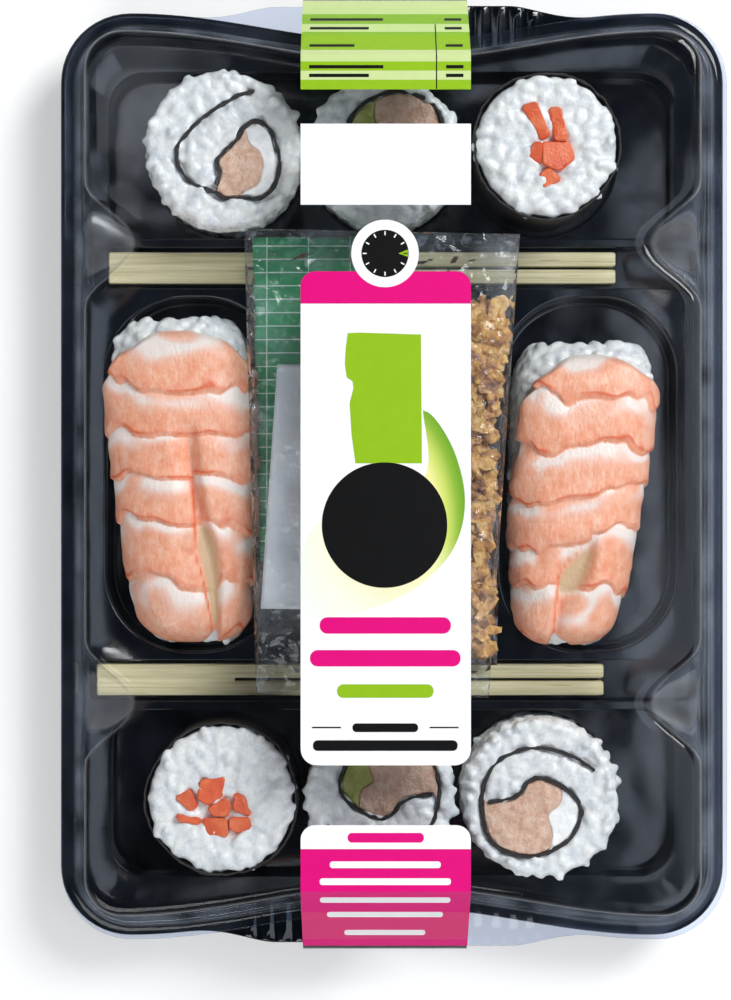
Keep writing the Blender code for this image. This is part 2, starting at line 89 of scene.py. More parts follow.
def surface(name, colour, roughness, bump=None, **more):
    """A material from one Principled shader. colour, roughness and bump are functions of the tree and
    its object coordinates in millimetres, or plain values."""
    made, tree, out = blank(name)
    place = add(tree, "TexCoord").outputs["Object"]
    scaled = add(tree, "VectorMath", {0: place, 1: (1000.0, 1000.0, 1000.0)}, operation="MULTIPLY")
    inputs = {
        "Base Color": colour(tree, scaled) if callable(colour) else colour,
        "Roughness": roughness(tree, scaled) if callable(roughness) else roughness,
    }
    if bump:
        height, depth = bump(tree, scaled)
        inputs["Normal"] = add(tree, "Bump", {"Height": height, "Distance": depth * MM, "Strength": 1.0})
    inputs.update({key.replace("_", " "): value for key, value in more.items()})
    shader = add(tree, "BsdfPrincipled", inputs)
    tree.links.new(shader.outputs[0], out.inputs[0])
    return made


def mixed(tree, share, a, b, blend="MIX"):
    """The colour part way from a to b."""
    return add(tree, "Mix", {0: share, 6: a, 7: b}, data_type="RGBA", blend_type=blend).outputs[2]


def speckle(tree, place, scale, detail=2.0, roughness=0.5, stretch=None):
    """Noise with features 1/scale millimetres across, drawn out along an axis by stretch."""
    if stretch:
        place = add(tree, "VectorMath", {0: place, 1: stretch}, operation="MULTIPLY")
    return add(tree, "TexNoise", {"Vector": place, "Scale": scale, "Detail": detail, "Roughness": roughness})


def piece(name, points, faces, finish, replaces=(), smooth=40):
    """A mesh from points in millimetres, riding on the pack. Its outside is found from its faces."""
    mesh = bpy.data.meshes.new(name)
    mesh.from_pydata((np.asarray(points, float) * MM).tolist(), [], [tuple(map(int, f)) for f in faces])
    mesh.materials.append(finish)
    mesh.shade_smooth()
    if smooth < 180:
        mesh.set_sharp_from_angle(angle=radians(smooth))
    made = bpy.data.objects.new(name, mesh)
    bpy.context.scene.collection.objects.link(made)
    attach(made, "root")
    if replaces:
        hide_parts(*replaces)
    return made


def inside(x, y, loop):
    """For arrays of plan points, whether each lies within the closed loop."""
    loop = np.asarray(loop)
    found = np.zeros(np.shape(x), bool)
    for (ax, ay), (bx, by) in zip(loop, np.roll(loop, -1, axis=0)):
        if ay != by:
            crosses = (ay > y) != (by > y)
            found ^= crosses & (x < (bx - ax) * (y - ay) / (by - ay) + ax)
    return found


def cover(loops, extra=()):
    """Triangles over the first plan loop, open where the others are, through the extra points.
    Points are numbered through the loops, then the extras."""
    flat = [tuple(p) for loop in loops for p in loop] + [tuple(p) for p in extra]
    edges, start = [], 0
    for loop in loops:
        edges += [(start + i, start + (i + 1) % len(loop)) for i in range(len(loop))]
        start += len(loop)
    points, _, triangles, origins, _, _ = delaunay_2d_cdt([Vector(p) for p in flat], edges, [], 1, 1e-6)
    spots = np.array([tuple(p) for p in points])
    corners = np.array(triangles)
    middles = spots[corners].mean(axis=1)
    kept = inside(middles[:, 0], middles[:, 1], loops[0])
    for hole in loops[1:]:
        kept &= ~inside(middles[:, 0], middles[:, 1], hole)
    given = np.array(flat)
    number = [o[0] if o else int(np.hypot(*(given - p).T).argmin()) for o, p in zip(origins, spots)]
    named = [[number[i] for i in t] for t in corners[kept]]
    return [t for t in named if len(set(t)) == 3]


class Sheet:
    """A sheet built from level loops of points in millimetres."""

    def __init__(self):
        self.points = []
        self.faces = []

    def loop(self, plan, z):
        heights = z if hasattr(z, "__len__") else [z] * len(plan)
        start = len(self.points)
        self.points += [(p[0], p[1], h) for p, h in zip(plan, heights)]
        return list(range(start, len(self.points)))

    def run(self, loops):
        """Loops of the same count joined one to the next. Returns the last."""
        for a, b in zip(loops, loops[1:]):
            n = len(a)
            self.faces += [(a[i], a[(i + 1) % n], b[(i + 1) % n], b[i]) for i in range(n)]
        return loops[-1]

    def fill(self, loops, extra=(), z=0.0):
        """A floor over the first loop, open where the others are."""
        numbers = [i for loop in loops for i in loop] + self.loop(extra, z) if len(extra) else [
            i for loop in loops for i in loop
        ]
        plans = [[self.points[i][:2] for i in loop] for loop in loops]
        self.faces += [tuple(numbers[i] for i in t) for t in cover(plans, extra)]

    def thicken(self, depth):
        """Gives the sheet a second skin below the first, joined along its open edge."""
        points = np.array(self.points)
        normals = np.zeros_like(points)
        for face in self.faces:
            a, b, c = points[list(face[:3])]
            turned = np.cross(b - a, c - a)
            if len(face) == 4:
                turned = turned + np.cross(c - a, points[face[3]] - a)
            for i in face:
                normals[i] += turned
        normals /= np.maximum(np.linalg.norm(normals, axis=1)[:, None], 1e-12)
        count = len(points)
        uses = {}
        for face in self.faces:
            for i, j in zip(face, face[1:] + face[:1]):
                uses[(i, j)] = True
        rim = [(i, j) for i, j in uses if (j, i) not in uses]
        below = [tuple(i + count for i in reversed(face)) for face in self.faces]
        sides = [(j, i, i + count, j + count) for i, j in rim]
        self.points = np.vstack([points, points - normals * depth])
        self.faces = self.faces + below + sides


def ease(low, high, x):
    t = min(max((x - low) / (high - low), 0.0), 1.0)
    return t * t * (3 - 2 * t)


def round_box(half_x, half_y, radius, x=0.0, y=0.0, steps=10):
    """A plan rectangle with round corners, anticlockwise."""
    made = []
    for quarter, (sx, sy) in enumerate(((1, 1), (-1, 1), (-1, -1), (1, -1))):
        for k in range(steps + 1):
            a = (quarter + k / steps) * pi / 2
            across = sx * (half_x - radius) + radius * cos(a)
            along = sy * (half_y - radius) + radius * sin(a)
            made.append((x + across, y + along))
    return made


def rim(inset, sides, tab=0, reach=101.0):
    """The rim's plan, anticlockwise from the far right. Its ends dip between their lobes, and tab adds
    pull tabs at the far right and near left (+1) or at the far left and near right (-1)."""
    lobe_x, lobe_y, radius = 56.4, 84.4, 15.0 - inset
    half = []
    for k in range(130):
        x = lobe_x - 2 * lobe_x * k / 130
        y = 99.4 - inset - 6.0 * (0.5 + 0.5 * cos(pi * x / lobe_x))
        if tab:
            share = ease(-6.0, 2.0, tab * x) * (1 - ease(25.0, 44.0, tab * x))
            y += share * (reach - max(inset, 0) - y)
        half.append((x, y))
    for k in range(12):
        a = pi / 2 * (1 + k / 12)
        half.append((-lobe_x + radius * cos(a), lobe_y + radius * sin(a)))
    half += [(-lobe_x - radius, y) for y in sides[:-1]]
    for k in range(12):
        a = pi + pi / 2 * k / 12
        half.append((-lobe_x + radius * cos(a), -lobe_y + radius * sin(a)))
    return half + [(-x, -y) for x, y in half]


def ribbed(plan, z, height, tab):
    """Heights along a rim loop, raised in fine ribs across the pull tabs."""
    made = []
    for x, y in plan:
        along = tab * x * (1 if y > 0 else -1)
        on_tab = ease(2.0, 4.0, along) * (1 - ease(29.0, 34.0, along)) if abs(y) > 88 else 0.0
        made.append(z + height * on_tab * max(0.0, sin(2 * pi * along / 3.7)) ** 0.7)
    return made


tray = Sheet()
stations = [84.4 - 168.8 * k / 40 for k in range(41)]
edge = [
    (0.0, 12.1), (0.0, 13.5), (0.15, 13.85), (0.5, 14.0), (1.0, 14.0), (2.8, 14.0), (3.3, 13.8), (3.6, 13.2),
    (4.0, 11.0), (4.2, 10.3), (4.5, 10.0), (4.7, 10.0),
]
loops = []
for inset, z in edge:
    plan = rim(inset, stations, tab=1 if inset < 3 else 0)
    if 0.4 < inset < 3:
        z = ribbed(plan, z - 0.25, 0.6, 1)
    loops.append(tray.loop(plan, z))
deck = tray.run(loops)


def sink(sheet, plan_of, top, floor, lip=1.0, toe=1.6, draft=0.8):
    """A well pressed into the sheet. plan_of gives its plan at an inset. Returns its mouth and floor."""
    shape = [(-0.15, top), (0.0, top)]
    for k in range(1, 5):
        a = pi / 2 * k / 4
        shape.append((lip * sin(a) * 0.7, top - lip * (1 - cos(a))))
    for k in range(0, 5):
        a = pi / 2 * k / 4
        shape.append((lip * 0.7 + draft + toe * (1 - cos(a)), floor + toe * (1 - sin(a))))
    shape.append((lip * 0.7 + draft + toe + 0.2, floor))
    made = [sheet.loop(plan_of(inset), z) for inset, z in shape]
    sheet.run(made)
    return made[0], made[-1]


mouths = []
for side, across in ((1, -1.5), (-1, -2.4)):

    def trough(inset, y=side * 69.2):
        return round_box(61.6 - inset, 18.2 - inset, 8.4 - inset, 0.0, y)

    mouth, low = sink(tray, trough, 10.0, 2.6, lip=0.3, toe=0.1, draft=0.0)

    def wells(inset, x=across, y=side * 69.0):
        """Three rounds in a row, open to each other."""
        radius, made = 17.0 - inset, []
        cusp = radians(22)
        for middle, start, end, steps in (
            (34.3, cusp - pi, pi - cusp, 64), (0.0, cusp, pi - cusp, 24),
            (-34.3, cusp, 2 * pi - cusp, 64), (0.0, pi + cusp, 2 * pi - cusp, 24),
        ):
            for k in range(steps + 1):
                a = start + (end - start) * k / steps
                made.append((x + middle + radius * cos(a), y + radius * sin(a)))
        return made

    lip, floor = sink(tray, wells, 2.6, 0.62, lip=0.4, toe=0.5, draft=0.05)
    tray.fill([floor])
    tray.fill([low, lip])
    mouths.append(mouth)
for side in (1, -1):

    def channel(inset, y=side * 44.8):
        return round_box(66.2 - inset, 4.6 - inset * 0.5, 2.2 - inset * 0.5, 0.0, y, 5)

    mouth, low = sink(tray, channel, 10.0, 4.7, lip=0.6, toe=0.4, draft=0.0)
    tray.fill([low])
    mouths.append(mouth)
for side in (1, -1):

    def bed(inset, x=side * 42.9):
        return round_box(19.6 - inset, 38.9 - inset, 17.5 - inset, x, 0.0, 14)

    mouth, low = sink(tray, bed, 10.0, 0.62, lip=1.0, toe=0.9, draft=0.1)
    tray.fill([low])
    mouths.append(mouth)
tray.fill([deck, *mouths])
tray.thicken(0.42)


def tray_colour(tree, place):
    haze = speckle(tree, place, 0.03, 3.0)
    return add(tree, "ValToRGB", {0: haze}, stops=[(0.3, "060A10"), (0.7, "0B1119")])


def tray_wave(tree, place):
    return speckle(tree, place, 0.07, 1.0), 0.35


def tray_gloss(tree, place):
    scuffs = speckle(tree, place, 0.2, 4.0, 0.7)
    return add(tree, "MapRange", {0: scuffs, 1: 0.3, 2: 0.8, 3: 0.07, 4: 0.2})


black = surface("black_styrene", tray_colour, tray_gloss, tray_wave, IOR=1.55)
piece("tray_formed", tray.points, tray.faces, black, ["tray"])

# ---------------------------------------------------------------- rice
# Short-grain rice, cooked and pressed while warm. Grains are plump, pearly and wet, and lie every way
# over a packed mass of the same rice, so the outline is uneven. Bluish-grey patches a few millimetres
# across in its colour are painted shade, standing in for the shade inside translucent grains.


def rice_with_painted_shade(tree, place):
    tone = speckle(tree, place, 0.35, 2.0)
    grain = speckle(tree, place, 1.7, 1.0)
    # Painted shade: the bluish-grey low end of this ramp darkens random patches, standing in for shade in
    # translucent grains.
    pale = add(tree, "ValToRGB", {0: tone}, stops=[(0.3, "C9CFD4"), (0.5, "DFE2E2"), (0.72, "ECEDE8")])
    return mixed(tree, add(tree, "MapRange", {0: grain, 1: 0.35, 2: 0.75, 3: 0.0, 4: 0.5}), pale, "F4F5F2")


def rice_gloss(tree, place):
    return add(tree, "MapRange", {0: speckle(tree, place, 1.1), 1: 0.3, 2: 0.7, 3: 0.18, 4: 0.42})


def rice_bump(tree, place):
    return speckle(tree, place, 1.2, 3.0, 0.6), 0.16


rice = surface("cooked_rice", rice_with_painted_shade, rice_gloss, rice_bump)


def ball(cuts):
    """Points and triangles of a ball with a radius of 1."""
    mesh = bpy.data.meshes.new("ball")
    work = bmesh.new()
    bmesh.ops.create_icosphere(work, subdivisions=cuts, radius=1.0)
    work.to_mesh(mesh)
    work.free()
    points = np.array([v.co[:] for v in mesh.vertices])
    faces = np.array([p.vertices[:] for p in mesh.polygons])
    bpy.data.meshes.remove(mesh)
    return points, faces


def melt(points, faces, voxel, rounds=2):
    """Overlapping closed solids run together into one skin, softened a little."""
    mesh = bpy.data.meshes.new("melting")
    mesh.from_pydata((np.asarray(points, float) * MM).tolist(), [], [tuple(map(int, f)) for f in faces])
    made = bpy.data.objects.new("melting", mesh)
    bpy.context.scene.collection.objects.link(made)
    joined = made.modifiers.new("joined", "REMESH")
    joined.mode = "VOXEL"
    joined.voxel_size = voxel * MM
    soft = made.modifiers.new("soft", "SMOOTH")
    soft.factor = 0.5
    soft.iterations = rounds
    result = bpy.data.meshes.new_from_object(made.evaluated_get(bpy.context.evaluated_depsgraph_get()))
    places = np.empty(len(result.vertices) * 3)
    result.vertices.foreach_get("co", places)
    skin = [tuple(f.vertices) for f in result.polygons]
    bpy.data.objects.remove(made)
    bpy.data.meshes.remove(mesh)
    bpy.data.meshes.remove(result)
    return places.reshape(-1, 3) / MM, skin


GRAIN = (2.8, 1.42, 1.3)  # half length, width and thickness of a cooked grain
RICE_FLOOR = 1.3  # how low the rice lies, on the tray's floor
RICE_VOXEL = 0.46


def grains(name, spots, outs, seed, core, replaces, hold=None):
    """Rice grains stuck together over a packed core: one at each spot, lying more or less along the
    surface whose outward direction is given. They are pressed flat on the tray's floor, and hold, where
    there is one, keeps the points inside the well's wall."""
    rng = np.random.default_rng(seed)
    base, triangles = ball(2)
    base = base.copy()
    base[:, 2] -= 0.16 * base[:, 0] ** 2
    count = len(spots)
    spots, outs = np.asarray(spots, float), np.asarray(outs, float)
    outs = outs / np.linalg.norm(outs, axis=1)[:, None]
    along = rng.normal(size=(count, 3))
    along -= outs * (along * outs).sum(1)[:, None] * rng.uniform(0.6, 1.0, (count, 1))
    along /= np.linalg.norm(along, axis=1)[:, None]
    across = np.cross(outs, along)
    across /= np.linalg.norm(across, axis=1)[:, None]
    up = np.cross(along, across)
    sizes = np.array(GRAIN) * rng.uniform(0.8, 1.12, (count, 3))
    local = base[None] * sizes[:, None]
    laid = local[..., :1] * along[:, None] + local[..., 1:2] * across[:, None]
    laid = laid + local[..., 2:] * up[:, None]
    points = (laid + spots[:, None]).reshape(-1, 3)
    faces = (triangles[None] + (np.arange(count) * len(base))[:, None, None]).reshape(-1, 3).tolist()
    faces += [tuple(i + len(points) for i in f) for f in core[1]]
    points = np.vstack([points, core[0]])
    points[:, 2] = np.maximum(points[:, 2], RICE_FLOOR)
    if hold:
        points = hold(points)
    points, faces = melt(points, faces, RICE_VOXEL)
    return piece(name, points, faces, rice, replaces, smooth=180)


def spread(count, offered, gap):
    """Up to count of the offered points, each at least gap from the rest."""
    kept = np.zeros((count, 3))
    n = 0
    for p in offered:
        if n == 0 or (((kept[:n] - p) ** 2).sum(axis=1)).min() > gap * gap:
            kept[n] = p
            n += 1
            if n == count:
                break
    return kept[:n]


def clear_of(x, y, line, gap):
    """For arrays of plan points, whether each is at least gap from the line's points."""
    line = np.asarray(line)
    return np.hypot(x[:, None] - line[None, :, 0], y[:, None] - line[None, :, 1]).min(axis=1) > gap


def column(plan, low, high, rise=None, step=0.0):
    """An upright solid over a plan, its top raised by rise(x, y) at points step apart."""
    xs, ys = [p[0] for p in plan], [p[1] for p in plan]
    extra = []
    if step:
        gx, gy = np.meshgrid(np.arange(min(xs), max(xs), step), np.arange(min(ys), max(ys), step))
        gx = gx.ravel() + (np.arange(gx.size) % 7 - 3) * step * 0.04
        gy = gy.ravel() + (np.arange(gy.size) % 5 - 2) * step * 0.05
        extra = [p for p, k in zip(zip(gx, gy), inside(gx, gy, plan)) if k]
        tight = np.asarray(plan)
        extra = [p for p in extra if np.hypot(*(tight - p).T).min() > step * 0.5]
    lift = rise or (lambda x, y: 0.0)
    n = len(plan)
    points = [(x, y, low) for x, y in plan]
    points += [(x, y, high - 0.35 + lift(x, y)) for x, y in plan]
    shrunk = inward(plan, 0.3)
    points += [(x, y, high + lift(x, y)) for x, y in shrunk]
    points += [(x, y, high + lift(x, y)) for x, y in extra]
    faces = [(i, (i + 1) % n, n + (i + 1) % n, n + i) for i in range(n)]
    faces += [(n + i, n + (i + 1) % n, 2 * n + (i + 1) % n, 2 * n + i) for i in range(n)]
    faces += [tuple(2 * n + i for i in t) for t in cover([shrunk], extra)]
    faces += [tuple(reversed(t)) for t in cover([plan])]
    return points, faces


def inward(plan, by):
    """A closed anticlockwise plan moved in by a small distance."""
    p = np.asarray(plan, float)
    along = np.roll(p, -1, axis=0) - np.roll(p, 1, axis=0)
    along /= np.maximum(np.hypot(*along.T)[:, None], 1e-9)
    return [tuple(q) for q in p + np.stack([-along[:, 1], along[:, 0]], axis=1) * by]


def anticlockwise(plan):
    p = np.asarray(plan, float)
    q = np.roll(p, -1, axis=0)
    turned = (p[:, 0] * q[:, 1] - q[:, 0] * p[:, 1]).sum() > 0
    return list(plan) if turned else list(plan)[::-1]


def wobble(x, y, scale, seed=0.0):
    return noise.noise(Vector((x * scale, y * scale, seed)))


# ---------------------------------------------------------------- seaweed
# Roasted seaweed, almost black. Damp from the rice, it is dull and its cut edge is a little ragged.


def seaweed_colour(tree, place):
    return add(
        tree, "ValToRGB", {0: speckle(tree, place, 1.2, 4.0, 0.7)},
        stops=[(0.3, "15120F"), (0.55, "231F1E"), (0.8, "3A3634")],
    )


def seaweed_bump(tree, place):
    return speckle(tree, place, 2.5, 4.0, 0.7), 0.25


seaweed = surface("seaweed", seaweed_colour, 0.42, seaweed_bump)


def strip(name, line, thick, low, high, closed, seed, replaces):
    """Seaweed standing on edge along a plan line."""
    p = np.asarray(line, float)
    n = len(p)
    along = np.roll(p, -1, axis=0) - np.roll(p, 1, axis=0)
    if not closed:
        along[0], along[-1] = p[1] - p[0], p[-1] - p[-2]
    along /= np.hypot(*along.T)[:, None]
    side = np.stack([-along[:, 1], along[:, 0]], axis=1)
    levels = [low, (low + high) / 2, high - 0.3, high]
    points = []
    for i in range(n):
        x, y = p[i]
        lift = 0.35 * wobble(x, y, 0.45, seed)
        drift = 0.3 * wobble(x, y, 0.7, seed + 9)
        half = thick / 2 * (1 + 0.7 * wobble(x, y, 0.7, seed + 3))
        for z in levels:
            top = z > (low + high) / 2
            grow = 0.55 if z == high else 1.0
            for s in (1, -1):
                q = p[i] + side[i] * (s * half * grow + (drift if top else 0))
                points.append((q[0], q[1], z + (lift if top else 0)))
    ring = [0, 2, 4, 6, 7, 5, 3, 1]
    faces = []
    for i in range(n if closed else n - 1):
        a, b = i * 8, ((i + 1) % n) * 8
        for k, m in zip(ring, ring[1:] + ring[:1]):
            faces.append((a + k, a + m, b + m, b + k))
    if not closed:
        faces += [tuple(reversed(ring)), tuple((n - 1) * 8 + k for k in ring)]
    return piece(name, points, faces, seaweed, replaces, smooth=50)


# ---------------------------------------------------------------- salmon, cheese and avocado
# Fillings show only at the cut. Cooked salmon is pale and fibrous, the fresh cheese is smooth and white,
# and the avocado is soft and green towards its skin.


def salmon_colour(tree, place):
    warp = speckle(tree, place, 0.3, 2.0)
    push = add(tree, "VectorMath", {0: warp.outputs["Color"], 3: 5.0}, operation="SCALE")
    bent = add(tree, "VectorMath", {0: place, 1: push}, operation="ADD")
    lines = add(tree, "TexWave", {"Vector": bent, "Scale": 0.22, "Distortion": 3.0, "Detail": 2.0})
    flesh = add(
        tree, "ValToRGB", {0: speckle(tree, place, 0.6, 3.0)},
        stops=[(0.3, "C99B80"), (0.5, "D8B097"), (0.75, "E6C8B2")],
    )
    fat = add(tree, "MapRange", {0: lines, 1: 0.62, 2: 0.95, 3: 0.0, 4: 0.22})
    return mixed(tree, fat, flesh, "E6CFC0")


def flesh_bump(tree, place):
    return speckle(tree, place, 1.0, 4.0, 0.6), 0.5


salmon = surface("cooked_salmon", salmon_colour, 0.38, flesh_bump)


def cheese_colour(tree, place):
    return add(tree, "ValToRGB", {0: speckle(tree, place, 0.5)}, stops=[(0.3, "F0F0EE"), (0.7, "FCFCFA")])


def cheese_bump(tree, place):
    return speckle(tree, place, 0.6, 2.0), 0.4


cheese = surface("fresh_cheese", cheese_colour, 0.4, cheese_bump)


def avocado_colour(tree, place):
    return add(
        tree, "ValToRGB", {0: speckle(tree, place, 0.28, 3.0)},
        stops=[(0.3, "8E9A3E"), (0.5, "B4B663"), (0.72, "D2CF94")],
    )


avocado = surface("avocado", avocado_colour, 0.35, flesh_bump)


def smooth_line(points, per_span=5):
    """A smooth open line through the given plan points."""
    made = []
    for k in range(len(points) - 1):
        p0, p1 = np.array(points[max(k - 1, 0)]), np.array(points[k])
        p2, p3 = np.array(points[k + 1]), np.array(points[min(k + 2, len(points) - 1)])
        for j in range(per_span):
            t = j / per_span
            made.append(
                0.5 * (
                    2 * p1 + (p2 - p0) * t + (2 * p0 - 5 * p1 + 4 * p2 - p3) * t**2
                    + (3 * p1 - p0 - 3 * p2 + p3) * t**3
                )
            )
    return np.array([*made, np.array(points[-1], float)])


def beside(line, by):
    """The line moved to its left, or to its right where by is negative."""
    along = np.gradient(line, axis=0)
    along /= np.hypot(*along.T)[:, None]
    return line + np.stack([-along[:, 1], along[:, 0]], axis=1) * by


def turned(plan, x, y, degrees):
    c, s = cos(radians(degrees)), sin(radians(degrees))
    p = np.asarray(plan, float)
    return np.stack([p[:, 0] * c - p[:, 1] * s + x, p[:, 0] * s + p[:, 1] * c + y], axis=1)


# ---------------------------------------------------------------- inside-out rolls
# Four pieces cut from rolls with the rice outside. One seaweed sheet spirals in from the outer rice, past
# a lobe of rice, and closes round the salmon and a second filling.

WIDE = [
    (-11.1, -0.8), (-7.6, -0.4), (-4.6, 0.8), (-2.9, 3.2), (0.2, 4.3), (4.9, 2.3), (8.1, -0.9),
    (8.5, -4.1), (6.1, -8.8), (1.4, -11.7), (-3.6, -12.5), (-9.1, -10.7), (-11.6, -7.4), (-12.6, -3.0),
    (-12.4, 1.1), (-10.8, 5.9), (-7.9, 8.7), (-4.0, 10.3), (1.4, 10.5), (7.2, 8.6), (11.4, 5.8),
]
HOOKED = [
    (-1.7, -7.6), (-0.9, -5.2), (-1.5, -2.6), (0.2, -0.4), (2.9, 2.2), (4.3, 4.6), (7.2, 6.0),
    (10.0, 4.0), (11.2, 0.6), (11.9, -3.4), (10.7, -8.0), (7.6, -10.5), (3.8, -10.4), (0.4, -10.6),
    (-2.4, -9.0), (-5.2, -8.0), (-8.0, -6.0), (-9.8, -3.0), (-9.8, 0.6), (-7.6, 3.4), (-5.2, 6.0),
    (-2.6, 8.0), (0.2, 9.8), (3.2, 11.4), (6.5, 12.3),
]


def outline(radius, seed, count=96):
    """A round plan with the soft unevenness of pressed rice."""
    made = []
    for k in range(count):
        a = 2 * pi * k / count
        r = radius + 0.22 * sin(3 * a + seed) + 0.15 * sin(5 * a + 2.1 * seed)
        made.append((r * cos(a), r * sin(a)))
    return made


def rice_ring(name, x, y, radius, keep_out, seed, replaces, top=21.0, side=True, core_top=19.6, count=330):
    """Grains over the top, and round the side where that is rice too, with a packed core below them."""
    core = turned(outline(radius - (1.5 if side else 0.7), seed), x, y, 0)

    def lumpy(px, py):
        return 0.5 * wobble(px, py, 0.6, seed)

    core = column([tuple(p) for p in core], 1.1, core_top, lumpy, 1.2)
    barred = [np.asarray(b) for b in keep_out]
    rng = np.random.default_rng(seed)
    a, r = rng.uniform(0, 2 * pi, 9000), (radius - (1.1 if side else 1.6)) * np.sqrt(rng.uniform(0, 1, 9000))
    px, py = x + r * np.cos(a), y + r * np.sin(a)
    free = clear_of(px, py, barred[0], 1.3)
    for loop in barred[1:]:
        free &= ~inside(px, py, loop) & clear_of(px, py, loop, 1.0 if side else 1.5)
    drop = 1.5 * np.clip((r - radius + 2.6) / 2.6, 0, None) ** 2 if side else 0.0
    heights = top - 1.4 - drop + rng.uniform(-0.4, 0.25, len(px))
    spots = spread(count, np.stack([px, py, heights], axis=1)[free], 1.6).tolist()
    outs = [(0.25 * (p[0] - x) / radius, 0.25 * (p[1] - y) / radius, 1.0) for p in spots]
    if side:
        for k in range(11):
            around = int(2 * pi * radius / 2.6)
            for j in range(around):
                a = 2 * pi * (j + 0.5 * (k % 2) + 0.35 * sin(7.3 * j + 3.1 * k)) / around
                r = radius - 1.35 + 0.35 * sin(12.9 * j + 4.7 * k)
                z = 2.1 + k * 1.72 + 0.4 * sin(5.1 * j + 2.2 * k)
                spots.append((x + r * cos(a), y + r * sin(a), min(z, top - 1.6)))
                outs.append((cos(a), sin(a), 0.0))
    grains(f"{name}_grains", spots, outs, seed, core, replaces)


def rolled(name, x, y, spiral, close, cut, seam, degrees, radius, second, second_finish, seed):
    """One inside-out piece. The second filling lies outside a seam between two places on the spiral."""
    line = turned(smooth_line(spiral), x, y, degrees)
    shut = close * 5
    strip(f"{name}_seaweed", line, 0.8, 1.0, 20.95, False, seed, [f"{name}_nori"])
    ring = beside(line, -0.42)[:shut]
    start, end = cut[0] * 5, cut[1] * 5
    parting = turned(smooth_line(seam), x, y, degrees)
    first = [*ring[start : end + 1], *parting[::-1]]
    rest = [*ring[end:], *ring[: start + 1], *parting]
    for plan, finish, label, slot_name, top in (
        (first, second_finish, second, "cream_cheese" if second == "cheese" else "avocado", 20.3),
        (rest, salmon, "salmon", "salmon", 20.5),
    ):
        plan = anticlockwise([tuple(p) for p in plan])

        def lumps(px, py, s=seed + len(label)):
            return 0.5 * wobble(px, py, 0.35, s) + 0.3 * wobble(px, py, 0.9, s)

        points, faces = column(plan, 1.0, top, lumps, 0.8)
        piece(f"{name}_{label}_cut", points, faces, finish, [f"{name}_{label}"])
    rice_ring(name, x, y, radius, [line, ring], seed, [f"{name}_rice"])


HOOKED_SEAM = [(4.6, 4.0), (5.6, 1.0), (7.6, -0.6), (8.3, -3.6), (7.2, -7.4), (4.0, -9.2)]
WIDE_SEAM = [(4.6, 1.8), (4.0, -1.6), (1.6, -3.6), (2.4, -7.4), (2.2, -10.6)]
rolled("roll_far_left", -35.9, 69.1, HOOKED, 14, (5, 12), HOOKED_SEAM, 0, 16.7, "cheese", cheese, 3)
rolled("roll_far_middle", -1.4, 68.8, WIDE, 14, (5, 9), WIDE_SEAM, 180, 16.2, "avocado", avocado, 5)
rolled("roll_near_middle", -2.6, -69.1, WIDE, 14, (5, 9), WIDE_SEAM, 180, 15.9, "avocado", avocado, 7)
rolled("roll_near_right", 31.6, -69.0, WIDE, 14, (5, 9), WIDE_SEAM, 0, 16.8, "cheese", cheese, 11)

# ---------------------------------------------------------------- thin rolls
# Two pieces with the seaweed outside: a thin dark line round the rice, and cut carrot sticks in the
# middle that stand up unevenly from it.


def carrot_colour(tree, place):
    tone = speckle(tree, place, 0.25, 3.0)
    return add(
        tree, "ValToRGB", {0: tone}, stops=[(0.3, "D24E28"), (0.5, "E06337"), (0.72, "EA7D4E")]
    )


def carrot_bump(tree, place):
    return speckle(tree, place, 2.0, 3.0, 0.6, (1.0, 1.0, 0.2)), 0.2


carrot = surface("carrot", carrot_colour, 0.32, carrot_bump)


def thin_roll(name, x, y, radius, seed):
    wrap = turned(outline(radius - 0.35, seed, 120), x, y, 0)
    strip(f"{name}_seaweed", wrap, 0.5, 0.9, 20.2, True, seed, [f"{name}_nori"])
    sticks = sorted(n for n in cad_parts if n.startswith(name + "_carrot"))
    barred = []
    for k, node in enumerate(sticks):
        co = np.array([v.co[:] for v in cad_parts[node].data.vertices]) * 1000
        top = co[:, 2].max()
        corners = {(round(c[0], 2), round(c[1], 2)) for c in co}
        middle = np.mean(list(corners), axis=0)
        plan = sorted(corners, key=lambda c: atan2(c[1] - middle[1], c[0] - middle[0]))
        barred.append(plan)
        fine = []
        for (ax, ay), (bx, by) in zip(plan, plan[1:] + plan[:1]):
            steps = max(2, int(hypot(bx - ax, by - ay) / 0.6))
            fine += [
                (ax + (bx - ax) * (j + 0.5) / steps, ay + (by - ay) * (j + 0.5) / steps)
                for j in range(steps)
            ]
        tilt = (0.12 * sin(2.3 * k + seed), 0.12 * cos(1.7 * k + seed))

        def slope(px, py, m=middle, t=tilt, k=k):
            return (px - m[0]) * t[0] + (py - m[1]) * t[1] + 0.15 * wobble(px, py, 1.1, k)

        points, faces = column(inward(fine, -0.3), 1.0, 21.0, slope, 0.7)
        piece(f"{node}_cut", points, faces, carrot, [node])
    rice_ring(
        name, x, y, radius - 0.5, [np.array([p for b in barred for p in b]) + 99, *barred], seed,
        [f"{name}_rice"], side=False, count=300,
    )


thin_roll("roll_far_right", 32.9, 69.9, 15.9, 13)
thin_roll("roll_near_left", -36.3, -69.3, 16.5, 17)

# ---------------------------------------------------------------- prawn nigiri
# A hand-pressed finger of rice under a cooked prawn, which is split along its belly and laid flat. Six
# overlapping segments run from white to a coral band at each lower edge.


